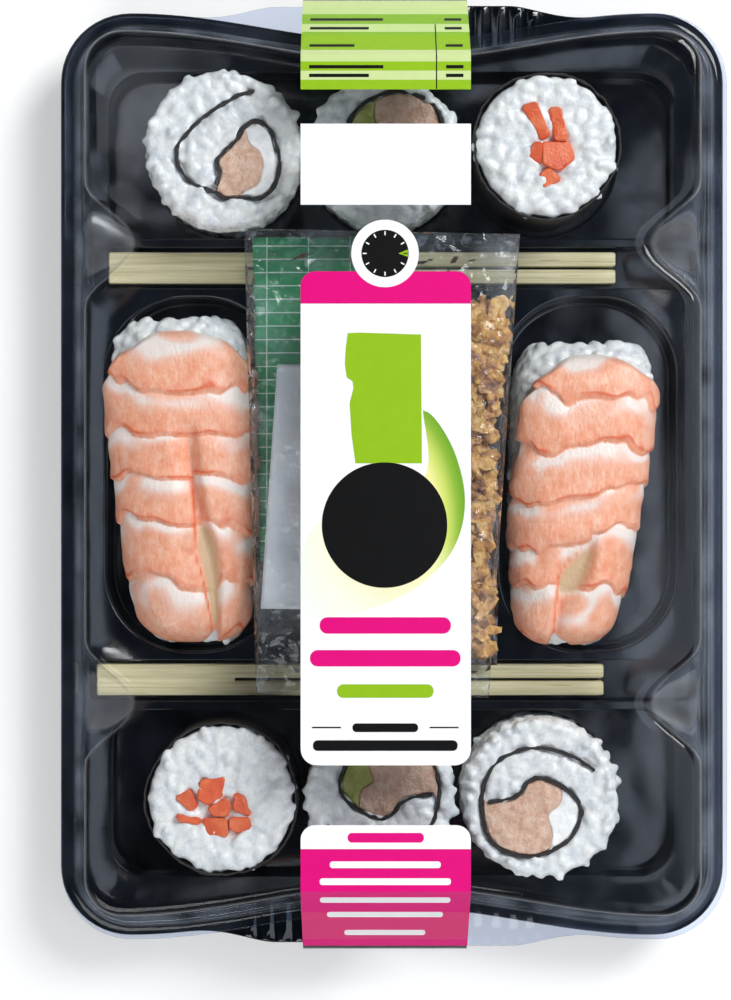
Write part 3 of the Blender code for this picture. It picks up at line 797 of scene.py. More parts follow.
def prawn_colour(tree, place):
    """Red of the tone layer is the pale share, green the deep share and blue the inner flesh."""
    tone = add(tree, "SeparateColor", {0: add(tree, "Attribute", attribute_name="tone").outputs["Color"]})
    grain = speckle(tree, place, 0.55, 5.0, 0.7, (1.0, 0.6, 1.0))
    base = add(tree, "ValToRGB", {0: grain}, stops=[(0.3, "FBCBB0"), (0.5, "F7B190"), (0.7, "F09B75")])
    fleck = add(tree, "MapRange", {0: speckle(tree, place, 2.6, 2.0), 1: 0.66, 2: 0.72, 3: 0.0, 4: 0.3})
    base = mixed(tree, fleck, base, "D9683F")
    ragged = add(tree, "Math", {0: grain, 1: 0.9, 2: -0.45}, operation="MULTIPLY_ADD")
    made = base
    for socket, shade in (("Red", "F7E9E0"), ("Green", "E3714A"), ("Blue", "D3B48E")):
        share = add(tree, "Math", {0: tone.outputs[socket], 1: ragged}, operation="ADD", use_clamp=True)
        share = add(tree, "Math", {0: share, 1: tone.outputs[socket]}, operation="MULTIPLY", use_clamp=True)
        share = add(tree, "MapRange", {0: share, 1: 0.0, 2: 0.75, 3: 0.0, 4: 1.0})
        made = mixed(tree, share, made, shade)
    return made


def prawn_bump(tree, place):
    return speckle(tree, place, 1.4, 4.0, 0.6, (1.0, 0.5, 1.0)), 0.22


prawn = surface("cooked_prawn", prawn_colour, 0.32, prawn_bump)


def nigiri(name, x, lean, far, near, far_half, near_half, slit, bare, seed):
    """slit gives places down the length, how far across the split runs there and how wide it gapes. bare
    is how much of the left side's rice shows at the far end."""
    length = far - near

    def section(t):
        swell = (1 - abs(2 * t - 1) ** 5) ** 0.5 if 0 < t < 1 else 0.0
        half = (far_half + (near_half - far_half) * t) * (0.5 + 0.5 * swell)
        return half, 0.8 + 15.5 * (0.6 + 0.4 * swell), x + lean * (t - 0.5)

    def skin(t, a, out=0.0, lift=0.0):
        half, top, middle = section(t)
        c, s = cos(a), sin(a)
        across = (half + out) * abs(c) ** 0.62 * (1 if c > 0 else -1)
        return middle + across, far - length * t, 4.8 + (top + lift - 4.8) * max(s, 0.0) ** 0.7

    count = 26
    core = []
    for k in range(count):
        t = 0.02 + 0.96 * k / (count - 1)
        half, top, middle = section(t)
        ring = [skin(t, pi * j / 18, -1.2, -1.2) for j in range(19)]
        ring += [(middle - 0.8 * half, far - length * t, 1.0), (middle + 0.8 * half, far - length * t, 1.0)]
        core.append(ring)
    n = len(core[0])
    faces = [tuple(range(n)), tuple(reversed(range((count - 1) * n, count * n)))]
    faces += [
        (k * n + (j + 1) % n, k * n + j, (k + 1) * n + j, (k + 1) * n + (j + 1) % n)
        for k in range(count - 1) for j in range(n)
    ]
    core = ([p for ring in core for p in ring], faces)
    rng = np.random.default_rng(seed)
    offered = []
    for t, a in zip(rng.uniform(0.015, 0.985, 9000), rng.uniform(-0.25, pi + 0.25, 9000)):
        if 0.26 < t < 0.92 and 0.85 < a < pi - (0.85 if bare < 0.1 or t > 0.6 else 1.15):
            continue
        half, top, middle = section(t)
        if 0 <= a <= pi:
            offered.append(skin(t, a, -1.2, -1.2))
        else:
            drop = -sin(a) * 12
            side = 1 if a < 0 else -1
            offered.append((middle + side * (half - 1.2 - 0.12 * drop), far - length * t, 4.8 - drop))
    spots = spread(620, np.array(offered), 1.55)
    outs = []
    for px, py, pz in spots:
        t = (far - py) / length
        half, top, middle = section(t)
        outs.append(((px - middle) / half, 2.8 * (0.5 - t) * abs(2 * t - 1) ** 3, max(0.05, (pz - 6) / 9)))

    def in_bed(points):
        """Rice below the tray's deck is held 1.6 mm inside the bed's outline."""
        corner = 17.5**2 - np.maximum(0.0, np.abs(points[:, 1]) - 21.4) ** 2
        reach = 2.1 + np.sqrt(np.maximum(0.0, corner)) - 1.6
        middle = 42.9 * (1 if x > 0 else -1)
        held = points.copy()
        held[:, 0] = np.clip(points[:, 0], middle - reach, middle + reach)
        return np.where((points[:, 2] < 10.5)[:, None], held, points)

    grains(f"{name}_grains", spots, outs, seed, core, [f"{name}_rice"], in_bed)

    def rough(a, b, c=0.0):
        return noise.noise(Vector((a + seed, b, c)))

    marks = np.array(slit)
    rows, columns, segments = 200, 96, 6
    points, tones = [], []
    under = []
    for k in range(rows):
        s = k / (rows - 1)
        for j in range(columns):
            u = -1 + 2 * j / (columns - 1)
            begin = 0.04 + 0.15 * abs(u - 0.08) ** 1.4 + 0.03 * rough(3 * u, 1.0)
            finish = 1.0 - 0.04 * exp(-(((u - marks[-1, 1]) / 0.1) ** 2)) - 0.05 * u**4
            t = begin + (finish - begin) * s
            centre, gape = np.interp(t, marks[:, 0], marks[:, 1]), np.interp(t, marks[:, 0], marks[:, 2])
            place = (t - 0.05) / 0.935 * segments
            half_slip = 0.3 * rough(0.9 * round(place), 4.0) * (1 if u > centre else -1) * ease(0.25, 0.5, t)
            local = place + 0.12 * u * u + 0.62 * rough(1.3 * u, 2.4 * t, 2.0) + half_slip
            local += 0.2 * rough(4.5 * u, 9 * t)
            local = max(0.0, local)
            whole = min(int(local), segments - 1)
            part = min(local - whole, 1.0)
            drop = ease(0.9, 1.0, part) if whole < segments - 1 else 0.0
            hump = part**0.55 * (1 - drop)
            cover_share = 0.97 - 0.1 * (1 - hump) - 0.07 * rough(3.5 * t * segments, 7.0 + (u > 0))
            if u < 0:
                cover_share -= bare * (1 - ease(0.3, 0.62, t))
            off = u - centre
            valley = exp(-((off / (0.035 + gape)) ** 2)) * ease(marks[0, 0], marks[0, 0] + 0.12, t)
            tips = sqrt(max(0.0, 1 - max(0.0, (s - 0.94) / 0.06) ** 2))
            tips *= sqrt(max(0.0, 1 - max(0.0, (0.03 - s) / 0.03) ** 2))
            round_off = max(0.0, 1 - abs(u) ** 5) ** 0.5
            body = 1.6 + 1.5 * sin(pi * min(1.0, 0.2 + 0.75 * t))
            thick = 0.5 + body * round_off + 0.8 * hump * (0.35 + 0.65 * round_off)
            thick += 0.5 * rough(2.5 * u, 12 * t)
            thick *= (1 - 0.72 * valley) * tips
            a = pi / 2 - u * cover_share * (pi / 2 - 0.3)
            px, py, pz = skin(t, a, 0.3 + 0.75 * thick * abs(u) ** 1.5, 0.5 + thick)
            points.append((px, py, min(pz, 22.3)))
            under.append(skin(t, a, 0.0, 0.2))
            patch = 0.55 + 2.0 * rough(2.4 * u, 11 * t, 3.0)
            pale = (1 - ease(0.08, 0.55, part)) * min(1.0, max(0.15, patch + 0.35))
            edge_tone = 0.75 - hump * 0.9 + 0.7 * rough(2 * u, 14 * t, 5.0)
            pale = max(pale, ease(0.6, 1.0, abs(u)) * min(1.0, max(0.0, edge_tone)))
            broken = 0.75 + 1.3 * rough(3 * u, 5 * t, 6.0)
            line = exp(-(((part - 0.89) / 0.05) ** 2)) * min(1.0, max(0.0, broken))
            deep = max(0.95 * line, 0.34 * ease(0.4, 0.9, part))
            split_line = exp(-(((off + gape + 0.012) / 0.014) ** 2))
            split_line *= ease(marks[0, 0], marks[0, 0] + 0.2, t)
            deep = max(deep, 0.95 * split_line)
            inner = valley * ease(0.02, 0.05, gape) * (1 - split_line)
            tones.append((pale * (1 - split_line), deep, inner, 1.0))
    n = len(points)
    points += under
    tones += [(0.5, 0.0, 0.0, 1.0)] * n
    faces = []
    for k in range(rows - 1):
        for j in range(columns - 1):
            i = k * columns + j
            faces.append((i, i + columns, i + columns + 1, i + 1))
            faces.append(tuple(n + q for q in (i, i + 1, i + columns + 1, i + columns)))
    border = list(range(columns)) + [k * columns + columns - 1 for k in range(1, rows)]
    border += [(rows - 1) * columns + j for j in range(columns - 2, -1, -1)]
    border += [k * columns for k in range(rows - 2, 0, -1)]
    faces += [(i, j, j + n, i + n) for i, j in zip(border, border[1:] + border[:1])]
    made = piece(f"{name}_prawn_laid", points, faces, prawn, [f"{name}_prawn"], smooth=180)
    layer = made.data.attributes.new("tone", "FLOAT_COLOR", "POINT")
    layer.data.foreach_set("color", np.array(tones, np.float32).ravel())


LEFT_SLIT = [
    (0.3, 0.03, 0.0), (0.5, 0.04, 0.004), (0.62, 0.07, 0.02), (0.72, 0.12, 0.09), (0.84, 0.17, 0.07),
    (1.0, 0.22, 0.02),
]
RIGHT_SLIT = [
    (0.6, 0.12, 0.0), (0.7, 0.07, 0.05), (0.78, 0.0, 0.07), (0.85, -0.05, 0.02), (1.0, -0.1, 0.005),
]
nigiri("nigiri_left", -44.6, 4.4, 34.0, -36.4, 17.3, 12.6, LEFT_SLIT, 0.0, 23)
nigiri("nigiri_right", 39.6, -5.0, 28.6, -37.0, 17.3, 10.8, RIGHT_SLIT, 0.3, 29)

# ---------------------------------------------------------------- chopsticks
# Each pair is one slat of pale bamboo, sawn down the middle from the right end and left joined at the
# other, so that it snaps apart in the hand.


def bamboo_colour(tree, place):
    fibre = speckle(tree, place, 0.9, 4.0, 0.7, (0.03, 1.6, 1.6))
    tone = add(
        tree, "ValToRGB", {0: fibre}, stops=[(0.3, "ABA277"), (0.5, "C6BE95"), (0.7, "D9D2AF")]
    )
    flecks = speckle(tree, place, 0.6, 2.0, 0.5, (0.12, 2.5, 2.5))
    return mixed(tree, add(tree, "MapRange", {0: flecks, 1: 0.66, 2: 0.74, 3: 0.0, 4: 0.5}), tone, "8C7C4C")


def bamboo_bump(tree, place):
    return speckle(tree, place, 1.2, 3.0, 0.6, (0.03, 2.0, 2.0)), 0.12


bamboo = surface("bamboo", bamboo_colour, 0.5, bamboo_bump)


def chopsticks(name, left, y, node):
    length, half, low, high = 110.3, 3.45, 5.0, 9.05
    made = Sheet()
    faces, points = [], []
    for y0, y1 in ((-half, -0.32), (0.32, half)):
        rows = []
        xs = [0.0, 0.25] + [length * k / 24 for k in range(1, 24)] + [length - 0.5, length]
        for k, px in enumerate(xs):
            tuck = 0.25 if k in (0, len(xs) - 1) else 0.0
            a, b = y0 + tuck, y1 - tuck
            c = 0.4
            z0, z1 = low + tuck, high - tuck
            ring = [
                (a + c, z1), (a + c * 0.3, z1 - c * 0.3), (a, z1 - c), (a, z0 + c), (a + c, z0), (b - c, z0),
                (b, z0 + c), (b, z1 - c), (b - c * 0.3, z1 - c * 0.3), (b - c, z1),
            ]
            rows.append([(left + px, y + q, r) for q, r in ring])
        base, n = len(points), 10
        points += [p for row in rows for p in row]
        faces.append(tuple(base + i for i in range(n)))
        faces.append(tuple(base + (len(xs) - 1) * n + i for i in reversed(range(n))))
        for k in range(len(xs) - 1):
            for i in range(n):
                a, b = base + k * n + i, base + k * n + (i + 1) % n
                faces.append((b, a, a + n, b + n))
    low_z, high_z = low + 0.3, high - 0.12
    base = len(points)
    for px in (left + 0.15, left + 30.0):
        points += [(px, y - 0.5, low_z), (px, y + 0.5, low_z), (px, y + 0.5, high_z), (px, y - 0.5, high_z)]
    faces += [(base, base + 3, base + 2, base + 1), tuple(base + 4 + i for i in range(4))]
    faces += [(base + i, base + (i + 1) % 4, base + 4 + (i + 1) % 4, base + 4 + i) for i in range(4)]
    piece(name, points, faces, bamboo, [node], smooth=30)


chopsticks("chopstick_pair_far", -61.6, 44.9, "chopsticks_far")
chopsticks("chopstick_pair_near", -64.2, -44.7, "chopsticks_near")

# ---------------------------------------------------------------- green sachet and sauce sachet
# Two small pillows of film. One is printed green with fine white lines like a wall of blocks. The other
# is clear film over dark sauce, creased and shiny; the blue-grey patches in its colour are painted glints.


def film_bump(tree, place):
    creases = add(
        tree, "TexVoronoi", {"Vector": speckled(tree, place), "Scale": 0.16}, feature="DISTANCE_TO_EDGE"
    )
    fold = add(tree, "MapRange", {0: creases, 1: 0.0, 2: 0.25, 3: 1.0, 4: 0.0})
    fine = speckle(tree, place, 0.5, 1.0)
    return add(tree, "Math", {0: fine, 1: 0.6, 2: fold}, operation="MULTIPLY_ADD"), 0.5


def speckled(tree, place):
    """The place shifted about by broad noise, so that patterns on it wander."""
    slow = speckle(tree, place, 0.12, 2.0).outputs["Color"]
    drift = add(tree, "VectorMath", {0: slow, 3: 8.0}, operation="SCALE")
    return add(tree, "VectorMath", {0: place, 1: drift}, operation="ADD")


def green_colour(tree, place):
    blocks = add(
        tree, "TexBrick",
        {"Vector": place, "Color1": "1E9C5E", "Color2": "189055", "Mortar": "D5E8DC", "Scale": 1.0,
         "Mortar Size": 0.13, "Brick Width": 9.0, "Row Height": 2.9},
        offset=0.0,
    )
    frost = speckle(tree, place, 0.12, 4.0)
    veil = add(tree, "MapRange", {0: frost, 1: 0.5, 2: 0.75, 3: 0.0, 4: 0.4})
    return mixed(tree, veil, blocks.outputs["Color"], "9FD2C2")


def sauce_and_painted_glints(tree, place):
    # Dark sauce. The two pale blue-grey stops at the top of this ramp are painted glints, standing in for
    # reflections on the creased film.
    return add(
        tree, "ValToRGB", {0: speckle(tree, place, 0.3, 4.0, 0.65)},
        stops=[(0.3, "120C0B"), (0.45, "2A1D1A"), (0.56, "5D5659"), (0.7, "A0A5B0")],
    )


green_film = surface("green_film", green_colour, 0.22, film_bump)
sauce_film = surface("sauce_film", sauce_and_painted_glints, 0.16, film_bump)


def pillow(x, y, far_half, near_half, half_y, low, high, turn, seal, seed, columns=40, rows=60, crease=0.25):
    """Top and bottom skins of a filled film bag with flat seals at its ends."""
    middle = (low + high) / 2
    points = []
    for skin in (1, -1):
        for k in range(rows):
            along = (-1 + 2 * k / (rows - 1)) * half_y
            half = near_half + (far_half - near_half) * (along / half_y + 1) / 2
            full = 0.0
            if abs(along) < half_y - seal:
                full = max(0.0, 1 - (abs(along) / (half_y - seal)) ** 4) ** 0.5
            for j in range(columns):
                u = -1 + 2 * j / (columns - 1)
                rise = (0.12 + ((high - low) / 2 - 0.3) * full) * max(0.0, 1 - u**4) ** 0.5
                px, py = u * half * 0.995, along
                fold = crease * noise.noise(Vector((px * 0.16, py * 0.1, seed + skin))) * (0.4 + full)
                z = middle + skin * max(0.1, rise) + fold * max(0.0, 1 - u**4)
                (qx, qy), = turned([(px, py)], x, y, turn)
                points.append((qx, qy, min(max(z, low), high)))
    count = rows * columns
    faces = []
    for k in range(rows - 1):
        for j in range(columns - 1):
            i = k * columns + j
            faces.append((i, i + 1, i + columns + 1, i + columns))
            faces.append((count + i, count + i + columns, count + i + columns + 1, count + i + 1))
    border = list(range(columns)) + [k * columns + columns - 1 for k in range(1, rows)]
    border += [(rows - 1) * columns + j for j in range(columns - 2, -1, -1)]
    border += [k * columns for k in range(rows - 2, 0, -1)]
    faces += [(j, i, i + count, j + count) for i, j in zip(border, border[1:] + border[:1])]
    return points, faces


points, faces = pillow(-13.6, 16.2, 16.6, 15.0, 35.0, 10.3, 14.3, 0.0, 4.0, 2.0)
piece("green_sachet", points, faces, green_film, ["sachet_green"], smooth=180)
points, faces = pillow(12.2, -16.5, 11.0, 11.0, 24.6, 10.3, 15.0, -1.0, 4.0, 5.0, crease=0.5)
piece("sauce_sachet", points, faces, sauce_film, ["sachet_sauce"], smooth=180)

# ---------------------------------------------------------------- bag of fried onion
# A clear bag over the sachets: loose golden flakes fill its right side, and a pale printed panel covers
# part of the left. The film is thin, creased and shiny, with clear seals at both ends.


def clear(name, tint, gloss, strength, bump=None, haze=None, cloud="B4C0D2"):
    """Thin clear film or sheet: light goes straight through, tinted, under a glossy reflection."""
    made, tree, out = blank(name)
    place = add(tree, "TexCoord").outputs["Object"]
    place = add(tree, "VectorMath", {0: place, 1: (1000.0, 1000.0, 1000.0)}, operation="MULTIPLY")
    inputs = {"Roughness": gloss, "Color": "FFFFFF"}
    facing = {"IOR": strength}
    if bump:
        height, depth = bump(tree, place)
        normal = add(tree, "Bump", {"Height": height, "Distance": depth * MM, "Strength": 1.0})
        inputs["Normal"] = normal
        facing["Normal"] = normal
    through = add(tree, "BsdfTransparent", {"Color": tint(tree, place) if callable(tint) else tint})
    if haze:
        veil = add(tree, "BsdfDiffuse", {"Color": cloud})
        through = add(tree, "MixShader", {0: haze(tree, place), 1: through, 2: veil})
    shine = add(tree, "BsdfAnisotropic", inputs)
    both = add(tree, "MixShader", {0: add(tree, "Fresnel", facing), 1: through, 2: shine})
    lamp = add(tree, "LightPath").outputs["Is Shadow Ray"]
    pane = add(tree, "BsdfTransparent", {"Color": "F8F9FA"})
    final = add(tree, "MixShader", {0: lamp, 1: both, 2: pane})
    tree.links.new(final.outputs[0], out.inputs[0])
    return made


def onion_colour(tree, place):
    tone = speckle(tree, place, 0.28, 4.0, 0.65)
    return add(
        tree, "ValToRGB", {0: tone},
        stops=[(0.3, "6A4A42"), (0.4, "A07452"), (0.5, "D6A35C"), (0.62, "EBC986"), (0.74, "9A7262")],
    )


onion = surface("fried_onion", onion_colour, 0.5, flesh_bump)


def bag_haze(tree, place):
    return add(tree, "MapRange", {0: speckle(tree, place, 0.07, 1.0), 1: 0.45, 2: 0.75, 3: 0.02, 4: 0.14})


bag_film = clear("bag_film", "F7F9FA", 0.1, 1.42, film_bump, bag_haze, "D5DCE2")
points, faces = pillow(-3.2, 2.2, 29.4, 24.8, 49.2, 16.8, 27.0, -1.2, 5.0, 8.0, 64, 110, 0.9)
piece("onion_bag_film", points, faces, bag_film, ["onion_bag"], smooth=180)


def flake_spots(seed):
    rng = np.random.default_rng(seed)
    made = []
    while len(made) < 620:
        along, u = rng.uniform(-40, 33), rng.uniform(0.3, 0.95)
        half = 24.8 + 4.6 * (along / 49.2 + 1) / 2
        room = 3.6 * max(0.0, 1 - (abs(along) / 44.2) ** 4) ** 0.5 * max(0.0, 1 - u**4) ** 0.5
        limit = np.interp(along, (-40, -20, 3, 34), (19.0, 19.6, 21.0, 25.5))
        if room > 0.8 and u * half - 3.2 < limit:
            height = 21.9 + rng.uniform(-0.75, 0.95) * (room - 0.7)
            made.append((u * half - 3.2 - 1.2 * along / 57, along + 2.2, height))
    return np.array(made)


def flakes(name, seed):
    """Curled slivers of fried onion joined in one mesh."""
    rng = np.random.default_rng(seed)
    spots = flake_spots(seed)
    rows, faces, points = 5, [], []
    for spot in spots:
        long, wide, curl = rng.uniform(1.3, 3.4), rng.uniform(1.6, 3.4), rng.uniform(0.05, 0.28)
        spin, tilt, roll = rng.uniform(0, 2 * pi), rng.uniform(-0.35, 0.35), rng.uniform(-0.5, 0.5)
        base = len(points)
        for side in (0.18, -0.18):
            for i in range(rows):
                s = -1 + 2 * i / (rows - 1)
                for j in (-1, 0, 1):
                    w = wide * (1 - 0.45 * s**4) * (1 + 0.25 * rng.uniform(-1, 1))
                    px, py = s * long, j * w / 2
                    pz = curl * s * s * long * 0.5 - 0.25 * abs(j) + side
                    py, pz = py * cos(roll) - pz * sin(roll), py * sin(roll) + pz * cos(roll)
                    px, pz = px * cos(tilt) - pz * sin(tilt), px * sin(tilt) + pz * cos(tilt)
                    points.append((
                        spot[0] + px * cos(spin) - py * sin(spin),
                        spot[1] + px * sin(spin) + py * cos(spin),
                        min(max(spot[2] + pz, 17.4), 26.3),
                    ))
        n = rows * 3
        for i in range(rows - 1):
            for j in range(2):
                a = base + i * 3 + j
                faces.append((a, a + 3, a + 4, a + 1))
                faces.append((a + n, a + n + 1, a + n + 4, a + n + 3))
        ring = [0, 1, 2] + [i * 3 + 2 for i in range(1, rows)] + [(rows - 1) * 3 + 1, (rows - 1) * 3]
        ring += [i * 3 for i in range(rows - 2, 0, -1)]
        faces += [(base + i, base + j, base + j + n, base + i + n) for i, j in zip(ring, ring[1:] + ring[:1])]
    piece(name, points, faces, onion, smooth=60)


flakes("onion_flakes", 31)


def panel_colour(tree, place):
    cloud = speckle(tree, place, 0.07, 2.0)
    return add(tree, "ValToRGB", {0: cloud}, stops=[(0.35, "D0D4D8"), (0.65, "E6E9EB")])


def panel_bump(tree, place):
    return speckle(tree, place, 0.25, 3.0), 0.5


panel_ink = surface("panel_print", panel_colour, 0.35, panel_bump)


def bag_height(px, py):
    """How high the bag's top film stands at a place."""
    along = py - 2.2
    half = 24.8 + 4.6 * (along / 49.2 + 1) / 2
    u = min(0.98, abs((px + 3.2) / half))
    full = max(0.0, 1 - (min(abs(along), 44.1) / 44.2) ** 4) ** 0.5
    return 21.9 + (0.12 + 4.8 * full) * (1 - u**4) ** 0.5


def panel(name, x0, x1, y0, y1, finish):
    nx, ny = 24, 60
    points = []
    for k in range(ny):
        py = y0 + (y1 - y0) * k / (ny - 1)
        for j in range(nx):
            px = x0 + (x1 - x0) * j / (nx - 1) + 0.07 * (py - y0) * (1 - j / (nx - 1))
            fold = 0.25 * noise.noise(Vector((px * 0.2, py * 0.12, 4.0)))
            points.append((px, py, min(bag_height(px, py) - 0.55 + fold, 26.4)))
    count = len(points)
    points += [(p[0], p[1], p[2] - 0.1) for p in points]
    faces = []
    for k in range(ny - 1):
        for j in range(nx - 1):
            i = k * nx + j
            faces.append((i, i + 1, i + nx + 1, i + nx))
            faces.append((count + i, count + i + nx, count + i + nx + 1, count + i + 1))
    border = list(range(nx)) + [k * nx + nx - 1 for k in range(1, ny)]
    border += [(ny - 1) * nx + j for j in range(nx - 2, -1, -1)] + [k * nx for k in range(ny - 2, 0, -1)]
    faces += [(j, i, i + count, j + count) for i, j in zip(border, border[1:] + border[:1])]
    piece(name, points, faces, finish, smooth=180)


panel("bag_panel", -27.9, -8.0, -28.6, 23.0, panel_ink)

# ---------------------------------------------------------------- lid
# Clear sheet drawn over a mould, with a flat flange, a bead above it, leaning sides and a rounded flute
# beside each chopstick channel. It shows mostly by its reflections.

lid_sides = [84.4 - 168.8 * k / 96 for k in range(97)]


def fluted(plan, depth):
    """The plan drawn in to a rounded flute near each channel."""
    made = []
    for x, y in plan:
        near = abs(abs(y) - 47.8) / 13.0
        draw = depth * (0.5 + 0.5 * cos(pi * near)) if near < 1 and abs(x) > 56.4 else 0.0
        made.append((x - draw if x > 0 else x + draw, y))
    return made


lid = Sheet()
shape = [
    (-0.2, 14.6, 0.0), (-0.2, 14.9, 0.0), (0.1, 15.0, 0.0), (0.6, 15.0, 0.0), (1.9, 15.0, 0.0),
    (2.5, 15.1, 0.0), (3.0, 16.0, 0.0), (3.4, 16.65, 0.0), (3.9, 16.75, 0.1), (4.4, 16.5, 0.3),
    (4.8, 16.7, 0.5), (5.0, 18.0, 1.2),
]
for k in range(1, 9):
    t = k / 8
    shape.append((5.0 + 2.0 * t, 18.0 + 12.2 * t, 1.2 + 8.6 * t))
shape += [
    (7.2, 31.2, 10.1), (7.5, 32.0, 10.4), (8.0, 32.6, 10.7), (8.7, 32.9, 10.9), (9.6, 33.0, 11.0),
    (11.0, 33.0, 11.0),
]
loops = []
for inset, z, depth in shape:
    plan = fluted(rim(inset, lid_sides, tab=-1 if inset < 2.4 else 0), depth)
    slip = 0.5 * (1 - ease(2.0, 5.0, inset))
    plan = [(px + slip, py - slip) for px, py in plan]
    if -0.5 < inset < 2.2:
        z = ribbed(plan, z - 0.2, 0.2, -1)
    loops.append(lid.loop(plan, z))
top = lid.run(loops)
plan = [lid.points[i][:2] for i in top]
gx, gy = np.meshgrid(np.arange(-60, 60, 3.0), np.arange(-86, 87, 3.0))
keep = inside(gx.ravel(), gy.ravel(), plan)
extra = [p for p, k in zip(zip(gx.ravel(), gy.ravel()), keep) if k]
extra = [p for p in extra if np.hypot(*(np.array(plan) - p).T).min() > 1.5]
heights = [33.0 - 0.25 * (0.5 + 0.5 * noise.noise(Vector((px * 0.03, py * 0.025, 3.0)))) for px, py in extra]
lid.fill([top], extra, heights)


def lid_wave(tree, place):
    return speckle(tree, place, 0.035, 1.0), 0.8




def lid_haze_and_painted_reflection(tree, place):
    """Blue-grey veil, most on the leaning sides, less on the flange and least on the top. It is partly haze
    and partly painted reflection: its upright streaks on the leaning sides stand in for soft blue-grey
    reflections.
    """
    level = add(tree, "MapRange", {0: add(tree, "SeparateXYZ", {0: place}).outputs["Z"], 1: 0.0, 2: 34.0})
    ramp = add(
        tree, "ValToRGB", {0: level},
        stops=[(0.455, "262626"), (0.47, "6A6A6A"), (0.52, "6A6A6A"), (0.9, "5A5A5A"), (0.955, "121212")],
    )
    # Painted reflection: upright streaks in the veil on the leaning sides stand in for the soft blue-grey
    # reflections of the room.
    grain = speckle(tree, place, 0.12, 1.0, 0.6, (1, 1, 0.15))
    painted_reflection_streaks = add(tree, "MapRange", {0: grain, 1: 0.3, 2: 0.7, 3: 0.25, 4: 1.5})
    return add(tree, "Math", {0: ramp, 1: painted_reflection_streaks}, operation="MULTIPLY")


def lid_tint(tree, place):
    """Faintly blue, and deeper on the flange where light runs along inside the sheet."""
    height = add(tree, "SeparateXYZ", {0: place}).outputs["Z"]
    return mixed(tree, add(tree, "MapRange", {0: height, 1: 15.3, 2: 16.0}), "D9E2F2", "F7F9FB")


clear_sheet = clear("clear_sheet", lid_tint, 0.09, 1.36, lid_wave, lid_haze_and_painted_reflection)
piece("lid_formed", lid.points, lid.faces, clear_sheet, ["lid"], smooth=180)

# ---------------------------------------------------------------- band
# Thin clear film stretched over the lid and round both ends, printed in flat inks. White lies under
# the colours. Words and marks are left out, and plain fields, bars and ticks keep their places.

HEIGHTS = [(0.0, 33.34), (86.8, 33.34), (88.5, 31.05), (101.95, 15.4), (102.05, 15.0), (102.05, 12.0)]


def film_height(y):
    """How high the stretched film stands at a place along the pack."""
    y = abs(y)
    for (y0, z0), (y1, z1) in zip(HEIGHTS, HEIGHTS[1:]):
        if y <= y1:
            return z0 + (z1 - z0) * (y - y0) / (y1 - y0)
    return 12.0


def along_film(y0, y1, step=2.0):
    """Stations along the film between two places, with the folds among them."""
    folds = [s * y for s in (1, -1) for y, _ in HEIGHTS[1:4]]
    made = {y0, y1, *[f for f in folds if y0 < f < y1]}
    made |= {y0 + (y1 - y0) * k / max(1, int((y1 - y0) / step)) for k in range(int((y1 - y0) / step))}
    return sorted(made)


FILM_X0, FILM_X1 = -19.2, 16.2
line = [
    (88.3, 3.1), (88.8, 8.3), (101.4, 11.1), (102.05, 11.8), (102.05, 15.3), (95.3, 23.2), (88.5, 31.05),
    (86.8, 33.34),
]
path = [(-y, z) for y, z in line] + [(y, film_height(y)) for y in np.arange(-84, 84.1, 4.0)]
path += [(y, z) for y, z in reversed(line)]
points, faces = [], []
for y, z in path:
    for k in range(9):
        points.append((FILM_X0 + (FILM_X1 - FILM_X0) * k / 8, y, z))
for k in range(len(path) - 1):
    for j in range(8):
        i = k * 9 + j
        faces.append((i, i + 1, i + 10, i + 9))
band_film = Sheet()
band_film.points, band_film.faces = points, faces
film = clear("wrap_film", "F9FBFC", 0.1, 1.36)
piece("band_film", band_film.points, band_film.faces, film, ["band"], smooth=30)


def ink(name, shade, deeper, roughness=0.45):
    """A flat printed ink, laid a little unevenly."""

    def tone(tree, place):
        return add(tree, "ValToRGB", {0: speckle(tree, place, 0.4, 2.0)}, stops=[(0.3, deeper), (0.7, shade)])

    return surface(name, tone, roughness, Specular_IOR_Level=0.2)


INKS = {
    "white": ink("white_ink", "FAFAFA", "F6F6F6"),
    "magenta": ink("magenta_ink", "E5007D", "E1007A"),
    "green": ink("green_ink", "93C01A", "90BC18"),
    "pale_green": ink("pale_green_ink", "CDDF9B", "CADC96"),
    "black": ink("black_ink", "070707", "040404"),
}


def printed(name, plan, shade, level, step=1.0):
    """A flat field of ink over a plan outline. level is its place in the stack of inks."""
    plan = anticlockwise(plan)
    ys = [p[1] for p in plan]
    fine = []
    for (ax, ay), (bx, by) in zip(plan, plan[1:] + plan[:1]):
        crossed = along_film(min(ay, by), max(ay, by), 4.0)
        cuts = sorted([0.0] + [(f - ay) / (by - ay) for f in crossed if by != ay])
        cuts = [t for t in dict.fromkeys(round(c, 6) for c in cuts) if t < 1]
        fine += [(ax + (bx - ax) * t, ay + (by - ay) * t) for t in cuts]
    extra = []
    x0, x1 = min(p[0] for p in plan), max(p[0] for p in plan)
    for y in along_film(min(ys), max(ys), 4.0)[1:-1]:
        for x in np.arange(x0 + 0.7, x1, 3.0):
            extra.append((x, y))
    far = np.asarray(fine)
    extra = [p for p in extra if inside(np.array([p[0]]), np.array([p[1]]), fine)[0]]
    extra = [p for p in extra if np.hypot(*(far - p).T).min() > 0.3]
    lift = 0.012 + 0.022 * level
    flat = fine + extra
    n = len(flat)
    points = [(x, y, film_height(y) + lift) for x, y in flat]
    points += [(x, y, film_height(y) + lift - 0.01) for x, y in flat]
    caps = cover([fine], extra)
    faces = [tuple(t) for t in caps] + [tuple(n + i for i in reversed(t)) for t in caps]
    m = len(fine)
    faces += [(i + n, (i + 1) % m + n, (i + 1) % m, i) for i in range(m)]
    finish = INKS[shade] if isinstance(shade, str) else shade
    return piece(name, points, faces, finish, smooth=30)


